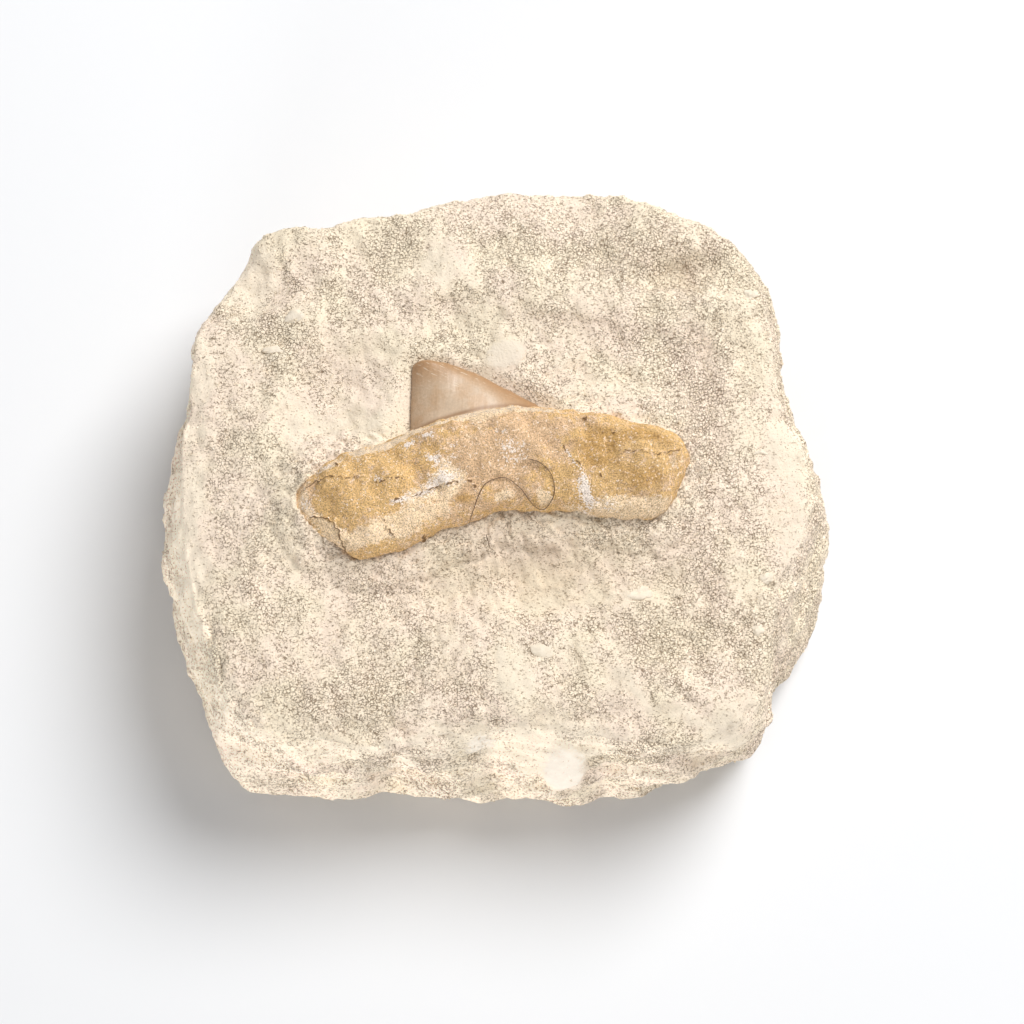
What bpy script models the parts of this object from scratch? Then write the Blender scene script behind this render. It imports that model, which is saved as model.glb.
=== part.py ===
"""A fossil shark tooth set in the loose block of sandy phosphate rock that it was found in.

Metres, +Z up. X runs along the tooth's root, +Y points from the root to the crown, and the
origin lies on the block's flat underside, below the middle of the object.
Places and sizes are given in millimetres in the tables below, and scaled where they are used.
"""

import math

import bmesh
import bpy
import numpy as np

MM = 0.001
BOX_MIDDLE = (0.2, 1.5, 0.0)  # where the tables' numbers put the middle of the object (mm)

# The block: its thickness and the two outlines that its side runs between.
BLOCK_HEIGHT = 33.0
FOOT_INSET = 0.93  # the flat underside, as a share of the widest outline
BLOCK_SEGMENTS = 88
BLOCK_RINGS = 32

# The widest outline, low on the side, anticlockwise from the right (mm).
WIDEST = [
    (52.1, -4), (51.2, 4), (47, 12.5), (45.2, 19.5), (45.3, 28.6), (42.2, 37.2), (35.6, 42), (24, 45.6),
    (11, 47.3), (-2, 47.3), (-13, 45), (-26, 43), (-37, 40.5), (-42.2, 32.6), (-46.5, 25.5), (-47.6, 16.8),
    (-49.2, 9.4), (-52.4, 0.8), (-51.2, -11.2), (-49.4, -20.2), (-46.5, -29.6), (-44.8, -37.4), (-40, -42.5),
    (-32, -43.6), (-23, -43.8), (-15.5, -43.3), (-9, -46.6), (0, -45.4), (12, -45.6), (17, -43.2),
    (21, -43.9), (29, -42.4), (34, -40.5), (40, -38.5), (42.5, -35), (42.8, -31.3),
    (46.6, -23.5), (50.7, -19.4), (51.5, -14),
]

# The edge of the top face, anticlockwise from the right (mm).
RIM = [
    (49.5, -3), (47.5, 5), (45, 11), (43.8, 19), (42, 28.6), (39.3, 36), (34.5, 40.5), (25, 44.7),
    (19.5, 46.6), (9, 46.9), (-2, 46.7), (-13, 43.5), (-27.5, 41.3), (-35.8, 40.6), (-39.7, 33.6), (-43.2, 28.1),
    (-46, 23.5), (-46.5, 17), (-47.5, 7), (-47.5, -4), (-46, -15), (-42.5, -25.5), (-40.5, -33),
    (-35, -38.5), (-28, -39.6), (-10, -39.6), (-1, -37.4), (7, -37.8), (16, -39.4), (25, -40.4),
    (35, -39), (41, -32.5), (42.5, -22), (43.5, -16), (47, -10),
]

# Swells (+) and hollows (-) of the top face: x, y, reach along, reach across, turn in degrees, height (mm).
TOP_SWELLS = [
    (6, -14.5, 27, 5.5, 3, -1.9),  # the trough that was cleared in front of the root
    (-23, 14.5, 8, 5.5, 30, -1.2),  # the hollow that was cleared beside the crown
    (-4, 15, 12, 6, -25, 0.7),  # rock that still grips the crown's edges
    (-19, 7.5, 9, 2.2, 22, 1.6),  # rock standing against the back of the left lobe
    (18, 12.5, 10, 2.5, -6, 1.3),  # rock standing against the back of the right lobe
    (29, 34, 6, 4.5, 10, -2.2),
    (31, 28.5, 13, 2.2, -8, 1.1),
    (3, 30, 16, 5, -12, 1.0),
    (-20, 33, 12, 4, 8, -1.0),
    (-38, 33, 6, 7, 40, -3.4),  # the broken corner at the back left
    (-14, -29, 15, 5, 2, -0.9),
    (1, -31, 4, 9, 35, 1.2),
    (29, -20, 11, 7, 0, -1.3),
    (27, -31.5, 14, 2.4, -22, 1.1),
    (-36, -6, 6, 18, 6, 0.9),
]

# Ledges of the bedding on the top face: x, y, direction in degrees, half length, rise towards its left (mm).
TOP_LEDGES = [
    (-37, 27, 12, 10, -1.6),
    (-12, 27.5, 14, 14, 1.0),
    (24, 24, -9, 20, 1.1),
    (-2, -36, 3, 34, 1.8),
    (30, 35, 16, 10, 1.3),
]

# The root, seen from above: x and the y of its back and front edges (mm).
ROOT_X = (-30.3, 30.2)
ROOT_BACK = [
    (-30.3, -2.0), (-29.4, -0.7), (-26, 1.8), (-22.5, 4.2), (-18, 5.2), (-13, 7.2), (-9, 8.8),
    (-5.5, 9.8), (-1, 10.9), (3.8, 11.4), (10.8, 10.6), (17.5, 10.1), (21.3, 8.8), (25.8, 8.1),
    (28.7, 6.6), (30.2, 3.4),
]
ROOT_FRONT = [
    (-30.3, -4.2), (-29.3, -6.3), (-27, -8.4), (-23.2, -10.6), (-21, -12.4), (-18.5, -12.4),
    (-14.5, -11.2), (-11.5, -9.9), (-7.4, -7.7), (-3.8, -7.1), (0, -5.0), (4, -4.9),
    (12.5, -5.0), (16.6, -5.8), (21, -6.3), (25.2, -6.2), (27.2, -4), (28.8, -0.5), (30.2, 3.4),
]
ROOT_MID_HEIGHT = 33.4
ROOT_RISE = 6.0  # crest above the mid height
ROOT_DEPTH = 6.0  # underside below it, inside the rock
ROOT_SQUARENESS = 2.7  # exponent of the section: 2 is an ellipse
ROOT_SEGMENTS = 30
ROOT_RINGS = 46

# Lumps (+) and dents (-) of the root's upper side: x, y, reach along, reach across, height (mm).
ROOT_LUMPS = [
    (3, 4.5, 9, 4.5, 0.9),  # the bulge between the lobes
    (-1, -3.2, 3, 1.8, 0.5),  # the low boss in the middle of the front edge
    (7.5, -2.8, 2.6, 1.8, 0.4),
    (3.5, -0.5, 2, 1.5, -0.5),
    (-21, 4.6, 0.9, 1.6, -1.3),  # the notch at the back of the left lobe
    (-25.5, -7.6, 4, 2.4, -0.9),
    (-20, -1, 5, 3, 0.5),
    (-12, -2.6, 7, 1.4, -0.5),
    (14, 4, 1.6, 6, -0.4),
    (23, 3, 5, 4, 0.4),
    (21, -3, 5, 3, -0.4),
]

# The crown: its two cutting edges from the hidden foot to the tip, x and y (mm).
CROWN_LEFT = [(-12.3, 1.5), (-12.6, 7.0), (-12.6, 11.8), (-12.5, 15.2), (-12.3, 17.3), (-11.7, 18.4)]
CROWN_RIGHT = [(8.5, 5.0), (7.0, 11.0), (1.8, 14.2), (-3.5, 17.1), (-7.4, 18.6), (-9.8, 19.0)]
CROWN_STATIONS = [0.0, 0.28, 0.52, 0.74, 0.9, 1.0]
CROWN_MID_HEIGHT = (33.0, 32.9)  # foot and tip
CROWN_BULGE = (3.8, 1.5)  # how far its upper face stands above the edges, foot and tip
CROWN_BACK = (2.8, 1.4)  # how far its buried face lies below them
CROWN_SEGMENTS = 28
CROWN_RINGS = 16

CLEARANCE = 0.3  # between the tooth and its pocket in the rock (mm)

ROCK_COLOUR = (0.76, 0.64, 0.47, 1.0)
TOOTH_COLOUR = (0.66, 0.43, 0.21, 1.0)


def clear_scene():
    for obj in list(bpy.data.objects):
        bpy.data.objects.remove(obj)


def new_collection(name):
    collection = bpy.data.collections.new(name)
    bpy.context.scene.collection.children.link(collection)
    return collection


def ball(name, segments, rings, collection):
    """A unit sphere as a mesh object, to be reshaped."""
    mesh = bpy.data.meshes.new(name)
    bm = bmesh.new()
    bmesh.ops.create_uvsphere(bm, u_segments=segments, v_segments=rings, radius=1.0)
    bm.to_mesh(mesh)
    bm.free()
    obj = bpy.data.objects.new(name, mesh)
    collection.objects.link(obj)
    return obj


def points_of(mesh):
    points = np.empty(len(mesh.vertices) * 3)
    mesh.vertices.foreach_get("co", points)
    return points.reshape(-1, 3)


def set_points(mesh, points):
    """Writes points given in the tables' millimetres, moved so that the object is centred."""
    placed = (points - np.array(BOX_MIDDLE)) * MM
    mesh.vertices.foreach_set("co", placed.astype(np.float32).ravel())
    mesh.update()


def ripple(points, wavelength, seed, waves=16):
    """Smooth noise of about -1 to 1: plane waves near one length, in seeded directions."""
    rng = np.random.default_rng(seed)
    ways = rng.normal(size=(3, waves))
    ways *= 2 * math.pi / wavelength * rng.uniform(0.6, 1.4, waves) / np.linalg.norm(ways, axis=0)
    shifts = rng.uniform(0, 2 * math.pi, waves)
    return np.sin(points @ ways + shifts).sum(axis=1) / math.sqrt(waves)


def scallops(points, spacing, seed):
    """Chip scars: 0 in the middle of a scar, rising to 1 on the ridges between scars."""
    rng = np.random.default_rng(seed)
    reach = np.array([60.0, 54.0, 40.0])
    axes = [np.arange(-half, half + spacing, spacing) for half in reach]
    centres = np.stack(np.meshgrid(*axes, indexing="ij"), axis=-1).reshape(-1, 3)
    centres += rng.uniform(-0.45, 0.45, centres.shape) * spacing
    nearest = np.full(len(points), np.inf)
    for centre in centres:
        nearest = np.minimum(nearest, ((points - centre) ** 2).sum(axis=1))
    return np.minimum(nearest / (0.7 * spacing) ** 2, 1.0)


def radius_at(outline, angles):
    """Radius of a closed outline at these angles, its corners eased over a few degrees."""
    corners = np.array(outline)
    corner_angles = np.arctan2(corners[:, 1], corners[:, 0])
    order = np.argsort(corner_angles)
    radii = np.hypot(corners[:, 0], corners[:, 1])[order]
    eased = [
        np.interp(angles + offset, corner_angles[order], radii, period=2 * math.pi)
        for offset in np.radians([-3, -1, 1, 3])
    ]
    return np.mean(eased, axis=0)


def swell(x, y, centre_x, centre_y, along, across, turn, height):
    """A smooth mound, or a hollow where height is negative."""
    c, s = math.cos(math.radians(turn)), math.sin(math.radians(turn))
    u = ((x - centre_x) * c + (y - centre_y) * s) / along
    v = ((y - centre_y) * c - (x - centre_x) * s) / across
    return height * np.exp(-(u * u + v * v))


def ledge(x, y, at_x, at_y, direction, half_length, rise, width=1.1):
    """A low step that rises towards the left of its direction and fades at its ends."""
    c, s = math.cos(math.radians(direction)), math.sin(math.radians(direction))
    along = ((x - at_x) * c + (y - at_y) * s) / half_length
    across = ((y - at_y) * c - (x - at_x) * s) / width
    return 0.5 * rise * np.tanh(across) * np.exp(-along**4 - (across / 9) ** 2)


def top_height(x, y):
    """Height of the block's top face over a point, before the fine ripple."""
    height = np.full_like(x, BLOCK_HEIGHT)
    height -= 3.0 * np.clip((y - 22) / 25, 0, 1) ** 2
    height -= 2.4 * np.clip((-24 - y) / 20, 0, 1) ** 2
    height -= 1.6 * np.clip((np.abs(x) - 30) / 20, 0, 1) ** 2
    for mound in TOP_SWELLS:
        height += swell(x, y, *mound)
    for step in TOP_LEDGES:
        height += ledge(x, y, *step)
    return height


def shape_block(obj):
    """Turns a unit sphere into the block: top face, side and flat underside, ring by ring."""
    unit = points_of(obj.data)
    angles = np.arctan2(unit[:, 1], unit[:, 0])
    ring = np.arccos(np.clip(unit[:, 2], -1, 1)) / math.pi  # 0 at the top pole, 1 at the bottom

    # How each ring is placed: shares of the rim, of the widest outline, and of the rim's height.
    stations = [0.0, 0.40, 0.46, 0.50, 0.58, 0.67, 0.76, 0.82, 0.87, 1.0]
    of_rim = [0.0, 0.94, 1.00, 0.86, 0.55, 0.24, 0.05, 0.0, 0.0, 0.0]
    of_widest = [0.0, 0.0, 0.0, 0.14, 0.45, 0.76, 0.95, 1.0, FOOT_INSET, 0.0]
    of_height = [1.0, 1.0, 0.985, 0.92, 0.72, 0.50, 0.30, 0.12, 0.0, 0.0]
    radius = radius_at(RIM, angles) * np.interp(ring, stations, of_rim)
    radius += radius_at(WIDEST, angles) * np.interp(ring, stations, of_widest)
    share = np.interp(ring, stations, of_height)
    x, y = radius * np.cos(angles), radius * np.sin(angles)
    z = top_height(x, y) * share
    points = np.stack([x, y, z], axis=1)

    # Chip scars and ripple push the side in and out; the ripple and a fine swell move the top.
    on_side = np.interp(ring, [0.46, 0.60, 0.80, 0.86], [0, 1, 1, 0])
    push = 1.8 * (scallops(points, 13.0, seed=5) - 0.45) + 0.7 * ripple(points, 12.0, seed=3)
    outward = np.stack([np.cos(angles), np.sin(angles)], axis=1)
    points[:, :2] += outward * (push * on_side)[:, None]
    lift = 0.42 * ripple(points * (1, 1, 0), 16.0, seed=8) + 0.22 * ripple(points * (1, 1, 0), 7.0, seed=9)
    points[:, 2] += lift * np.interp(ring, [0.47, 0.60], [1, 0])
    set_points(obj.data, points)


def eased_line(table, x, ease=0.7):
    """Reads a table of (x, value) at x, with its corners rounded over a short way."""
    stations, values = np.array(table).T
    eased = [np.interp(x + offset * ease, stations, values) for offset in (-1, -0.5, 0, 0.5, 1)]
    return np.mean(eased, axis=0)


def shape_root(obj, grow=0.0):
    """Turns a unit sphere, its poles along X, into the two-lobed root."""
    unit = points_of(obj.data)
    along, turn = unit[:, 2], np.arctan2(unit[:, 1], unit[:, 0])
    start, end = ROOT_X
    x = start + (end - start) * (along + 1) / 2
    tip = np.abs(along) > 0.9999
    back = np.where(tip, np.interp(x, *np.array(ROOT_BACK).T), eased_line(ROOT_BACK, x))
    front = np.where(tip, np.interp(x, *np.array(ROOT_FRONT).T), eased_line(ROOT_FRONT, x))
    roundness = 2 / ROOT_SQUARENESS
    across = np.where(tip, 0, np.sign(np.cos(turn)) * np.abs(np.cos(turn)) ** roundness)
    up = np.sign(np.sin(turn)) * np.abs(np.sin(turn)) ** roundness
    y = (back + front) / 2 + across * (back - front) / 2
    fullness = np.sqrt(np.clip(1 - along**8, 0, 1))
    lobes = 1 - 0.16 * np.clip(np.abs(x) / 30, 0, 1) ** 2
    z = ROOT_MID_HEIGHT + np.where(up > 0, ROOT_RISE * lobes, ROOT_DEPTH) * up * fullness
    for lump_x, lump_y, reach_x, reach_y, height in ROOT_LUMPS:
        z += swell(x, y, lump_x, lump_y, reach_x, reach_y, 0, height) * np.clip(up, 0, 1) * fullness
    points = np.stack([x, y, z], axis=1)
    rough = 0.35 * ripple(points, 9.0, seed=21) + 0.16 * ripple(points, 4.0, seed=22)
    z += rough * fullness * np.clip(up, -0.3, 1)
    set_points(obj.data, np.stack([x, y, z], axis=1))
    grow_mesh(obj.data, grow * MM)


def shape_crown(obj, grow=0.0):
    """Turns a unit sphere into the crown: lens-shaped sections between its two cutting edges."""
    unit = points_of(obj.data)
    share = np.arccos(np.clip(-unit[:, 2], -1, 1)) / math.pi  # 0 at the foot, 1 at the tip
    turn = np.arctan2(unit[:, 1], unit[:, 0])
    width = np.minimum(np.sin(share * math.pi) / math.sin(0.2 * math.pi), 1.0)
    width = np.where(share > 0.5, np.sqrt(np.clip(1 - ((share - 0.5) * 2) ** 7, 0, 1)), width)
    lefts, rights = np.array(CROWN_LEFT), np.array(CROWN_RIGHT)
    left = np.stack([np.interp(share, CROWN_STATIONS, lefts[:, k]) for k in (0, 1)], axis=1)
    right = np.stack([np.interp(share, CROWN_STATIONS, rights[:, k]) for k in (0, 1)], axis=1)
    middle, half = (left + right) / 2, (right - left) / 2
    plan = middle + half * (np.cos(turn) * width)[:, None]
    thick = np.where(
        np.sin(turn) > 0,
        np.interp(share, [0, 1], CROWN_BULGE),
        -np.interp(share, [0, 1], CROWN_BACK),
    )
    z = np.interp(share, [0, 1], CROWN_MID_HEIGHT) + thick * np.abs(np.sin(turn)) ** 1.3 * width
    set_points(obj.data, np.column_stack([plan, z]))
    grow_mesh(obj.data, grow * MM)


def grow_mesh(mesh, distance):
    """Faces the mesh outwards, then moves every point out by a distance."""
    bm = bmesh.new()
    bm.from_mesh(mesh)
    bmesh.ops.recalc_face_normals(bm, faces=bm.faces)
    bm.normal_update()
    moves = [vertex.normal * distance for vertex in bm.verts]
    for vertex, move in zip(bm.verts, moves):
        vertex.co += move
    bm.to_mesh(mesh)
    bm.free()


def finish_mesh(obj, material):
    obj.data.shade_smooth()
    obj.data.set_sharp_from_angle(angle=math.radians(50))
    obj.data.materials.append(material)


def new_material(name, colour, roughness):
    material = bpy.data.materials.new(name)
    material.use_nodes = True
    shader = material.node_tree.nodes["Principled BSDF"]
    shader.inputs["Base Color"].default_value = colour
    shader.inputs["Roughness"].default_value = roughness
    return material


def add_boolean(obj, operation, other):
    modifier = obj.modifiers.new(operation.title(), "BOOLEAN")
    modifier.operation = operation
    modifier.object = other
    modifier.solver = "EXACT"


def make_helper(obj):
    obj.hide_render = True
    obj.display_type = "WIRE"


def build_tooth(parts, cutters):
    tooth = ball("tooth", ROOT_SEGMENTS, ROOT_RINGS, parts)
    shape_root(tooth)
    finish_mesh(tooth, new_material("fossil_tooth", TOOTH_COLOUR, 0.55))
    crown = ball("crown_form", CROWN_SEGMENTS, CROWN_RINGS, cutters)
    shape_crown(crown)
    make_helper(crown)
    add_boolean(tooth, "UNION", crown)
    return tooth


def build_block(parts, cutters):
    block = ball("matrix_block", BLOCK_SEGMENTS, BLOCK_RINGS, parts)
    shape_block(block)
    finish_mesh(block, new_material("phosphate_rock", ROCK_COLOUR, 0.95))
    for name, shape in (("root_pocket", shape_root), ("crown_pocket", shape_crown)):
        segments, rings = (ROOT_SEGMENTS, ROOT_RINGS) if shape is shape_root else (CROWN_SEGMENTS, CROWN_RINGS)
        cutter = ball(name, segments, rings, cutters)
        shape(cutter, grow=CLEARANCE)
        make_helper(cutter)
        add_boolean(block, "DIFFERENCE", cutter)
    return block


def main():
    clear_scene()
    parts = new_collection("fossil shark tooth")
    cutters = new_collection("cutters")
    build_block(parts, cutters)
    build_tooth(parts, cutters)


main()
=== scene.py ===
import itertools
import math

import bpy
import numpy as np
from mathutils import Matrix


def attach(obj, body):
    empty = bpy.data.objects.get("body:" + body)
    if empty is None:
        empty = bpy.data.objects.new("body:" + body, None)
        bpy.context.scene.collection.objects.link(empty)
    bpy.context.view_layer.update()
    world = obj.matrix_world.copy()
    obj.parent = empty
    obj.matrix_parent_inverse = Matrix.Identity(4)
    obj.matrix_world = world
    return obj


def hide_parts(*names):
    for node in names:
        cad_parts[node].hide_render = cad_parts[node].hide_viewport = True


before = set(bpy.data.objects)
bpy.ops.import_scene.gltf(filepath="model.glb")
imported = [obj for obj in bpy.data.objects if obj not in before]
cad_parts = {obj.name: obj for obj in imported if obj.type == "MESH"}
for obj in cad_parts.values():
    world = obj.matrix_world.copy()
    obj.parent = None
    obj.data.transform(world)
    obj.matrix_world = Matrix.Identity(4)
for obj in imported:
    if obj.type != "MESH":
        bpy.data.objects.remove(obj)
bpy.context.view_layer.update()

mm = 0.001
boxMiddle = np.array([0.2, 1.5, 0.0])  # where the tables' numbers put the middle of the object, mm
print("frame loaded:", sorted(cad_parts))


# Shared maths, all in millimetres, on whole arrays of points.

def ripple(points, wavelength, seed, waves=16):
    # Smooth noise of about -1 to 1: plane waves near one length, in seeded directions, summed.
    rng = np.random.default_rng(seed)
    ways = rng.normal(size=(3, waves))
    ways *= 2 * math.pi / wavelength * rng.uniform(0.6, 1.4, waves) / np.linalg.norm(ways, axis=0)
    shifts = rng.uniform(0, 2 * math.pi, waves)
    return np.sin(points @ ways + shifts).sum(axis=-1) / math.sqrt(waves)


def fixedRandom(cell, seed, channel):
    # A repeatable number from 0 to 1 for each whole-number cell: the fraction of a large sine.
    mixed = np.sin(cell @ np.array([127.1, 311.7, 74.7]) + 17.3 * seed + 41.9 * channel) * 43758.5453
    return mixed - np.floor(mixed)


def cellular(points, size, seed):
    # Distances to the nearest and second nearest of one centre per cube of this size, in sizes.
    scaled = points / size
    corner = np.floor(scaled)
    nearest = np.full(points.shape[:-1], 9.0)
    second = nearest.copy()
    for step in itertools.product((-1, 0, 1), repeat=3):
        cell = corner + step
        centre = cell + np.stack([fixedRandom(cell, seed, channel) for channel in range(3)], axis=-1)
        away = np.linalg.norm(scaled - centre, axis=-1)
        second = np.minimum(second, np.maximum(nearest, away))
        nearest = np.minimum(nearest, away)
    return nearest, second


def scallops(points, spacing, seed):
    # Chip scars: 0 in the middle of a scar, rising with the squared distance to 1 on the ridges.
    rng = np.random.default_rng(seed)
    reach = np.array([60.0, 54.0, 40.0])
    axes = [np.arange(-half, half + spacing, spacing) for half in reach]
    centres = np.stack(np.meshgrid(*axes, indexing="ij"), axis=-1).reshape(-1, 3)
    centres += rng.uniform(-0.45, 0.45, centres.shape) * spacing
    nearest = np.full(points.shape[:-1], np.inf)
    for centre in centres:
        nearest = np.minimum(nearest, ((points - centre) ** 2).sum(axis=-1))
    return np.minimum(nearest / (0.7 * spacing) ** 2, 1.0)


def ramp(value, low, high):
    # 0 below low, 1 above high, and the smooth cubic 3t^2 - 2t^3 between them.
    share = np.clip((value - low) / (high - low), 0, 1)
    return share * share * (3 - 2 * share)


def turnedInto(x, y, turn):
    # Distances along and across a direction in degrees: x cos + y sin, and y cos - x sin.
    c, s = math.cos(math.radians(turn)), math.sin(math.radians(turn))
    return x * c + y * s, y * c - x * s


def mound(x, y, centreX, centreY, along, across, turn, height):
    # A turned Gaussian: height times exp(-(u^2 + v^2)) of the distances along and across.
    u, v = turnedInto(x - centreX, y - centreY, turn)
    return height * np.exp(-((u / along) ** 2 + (v / across) ** 2))


def zones(points, table, drift=1.0, floorZ=-1e9):
    # The sum of a table's mounds over points whose outline is blurred by ripples of this drift, mm.
    x = points[..., 0] + drift * (1.1 * ripple(points, 7.0, seed=61) + 0.5 * ripple(points, 2.6, seed=63))
    y = points[..., 1] + drift * (1.1 * ripple(points, 7.0, seed=62) + 0.5 * ripple(points, 2.6, seed=64))
    total = sum(mound(x, y, *row) for row in table)
    return total * ramp(points[..., 2], floorZ, floorZ + 4)


def lineDistance(x, y, line):
    # Distance to a line of straight runs: on each, to its nearest point, a share of the way along.
    best = np.full(x.shape, 1e9)
    for (ax, ay), (bx, by) in zip(line[:-1], line[1:]):
        dx, dy = bx - ax, by - ay
        share = np.clip(((x - ax) * dx + (y - ay) * dy) / (dx * dx + dy * dy + 1e-12), 0, 1)
        best = np.minimum(best, (x - ax - share * dx) ** 2 + (y - ay - share * dy) ** 2)
    return np.sqrt(best)


def outlineDistance(x, y, outline):
    # Distance to a closed outline, negative inside, where a level ray crosses an odd number of sides.
    closed = np.concatenate([outline, outline[:1]])
    inside = np.zeros(x.shape, bool)
    for (ax, ay), (bx, by) in zip(closed[:-1], closed[1:]):
        if abs(by - ay) > 1e-9:
            inside ^= ((ay > y) != (by > y)) & (x < ax + (y - ay) * (bx - ax) / (by - ay))
    return np.where(inside, -1, 1) * lineDistance(x, y, closed)


def gridNormals(points):
    # Unit normals of a grid whose columns wrap round: the cross product of its two differences.
    down = np.gradient(points, axis=0)
    around = np.roll(points, -1, axis=1) - np.roll(points, 1, axis=1)
    normal = np.cross(down, around)
    return normal / (np.linalg.norm(normal, axis=-1, keepdims=True) + 1e-12)


def placed(points):
    # From the tables' millimetres to the frame's metres.
    return (points - boxMiddle) * mm


def addPiece(name, vertices, faces, material, attributes, replaced=None, smooth=True):
    # One mesh object at the origin, riding on the one body, with its values kept per point.
    mesh = bpy.data.meshes.new(name)
    mesh.from_pydata(placed(vertices).tolist(), [], faces)
    for title, values in attributes.items():
        mesh.attributes.new(title, "FLOAT", "POINT").data.foreach_set(
            "value", np.ascontiguousarray(values, np.float32).ravel())
    if smooth:
        mesh.shade_smooth()
    mesh.materials.append(material)
    piece = bpy.data.objects.new(name, mesh)
    bpy.context.scene.collection.objects.link(piece)
    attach(piece, "root")
    if replaced:
        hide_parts(replaced)
    print(name, len(mesh.vertices), "points", len(mesh.loops) - 2 * len(mesh.polygons), "triangles")


def closedGrid(rings):
    # Quads between neighbouring rings, and a fan of triangles to a pole at each end.
    rows, columns = rings.shape[:2]
    row, column = np.meshgrid(np.arange(rows - 1), np.arange(columns), indexing="ij")
    here = row * columns + column
    beside = row * columns + (column + 1) % columns
    quads = np.stack([here, here + columns, beside + columns, beside], axis=-1).reshape(-1, 4)
    edge = np.arange(columns)
    nextEdge = (edge + 1) % columns
    first, last = rows * columns, rows * columns + 1
    lastRow = (rows - 1) * columns
    fans = np.concatenate([
        np.stack([np.full(columns, first), edge, nextEdge], axis=-1),
        np.stack([np.full(columns, last), lastRow + nextEdge, lastRow + edge], axis=-1)])
    return quads.tolist() + fans.tolist()


def withPoles(grid):
    # A grid's values as one list, followed by the means of its first and last rows for the poles.
    flat = grid.reshape(-1, *grid.shape[2:])
    return np.concatenate([flat, grid[:1].mean(axis=1), grid[-1:].mean(axis=1)])


def addSurface(name, rings, material, masks, replaced=None):
    # A closed grid as one piece, with a value of each mask at each of its points.
    values = {title: withPoles(mask) for title, mask in masks.items()}
    addPiece(name, withPoles(rings), closedGrid(rings), material, values, replaced)


class Wire:
    # A socket that takes part in sums: each operator adds one Math node.
    def __init__(self, recipe, socket):
        self.recipe, self.socket = recipe, socket

    def maths(self, operation, first, second):
        # One Math node on two sockets or numbers.
        return self.recipe.add("ShaderNodeMath", {"operation": operation}, {0: first, 1: second})

    def __add__(self, other):
        return self.maths("ADD", self, other)

    def __radd__(self, other):
        return self.maths("ADD", other, self)

    def __sub__(self, other):
        return self.maths("SUBTRACT", self, other)

    def __rsub__(self, other):
        return self.maths("SUBTRACT", other, self)

    def __mul__(self, other):
        return self.maths("MULTIPLY", self, other)

    def __rmul__(self, other):
        return self.maths("MULTIPLY", other, self)


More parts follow.
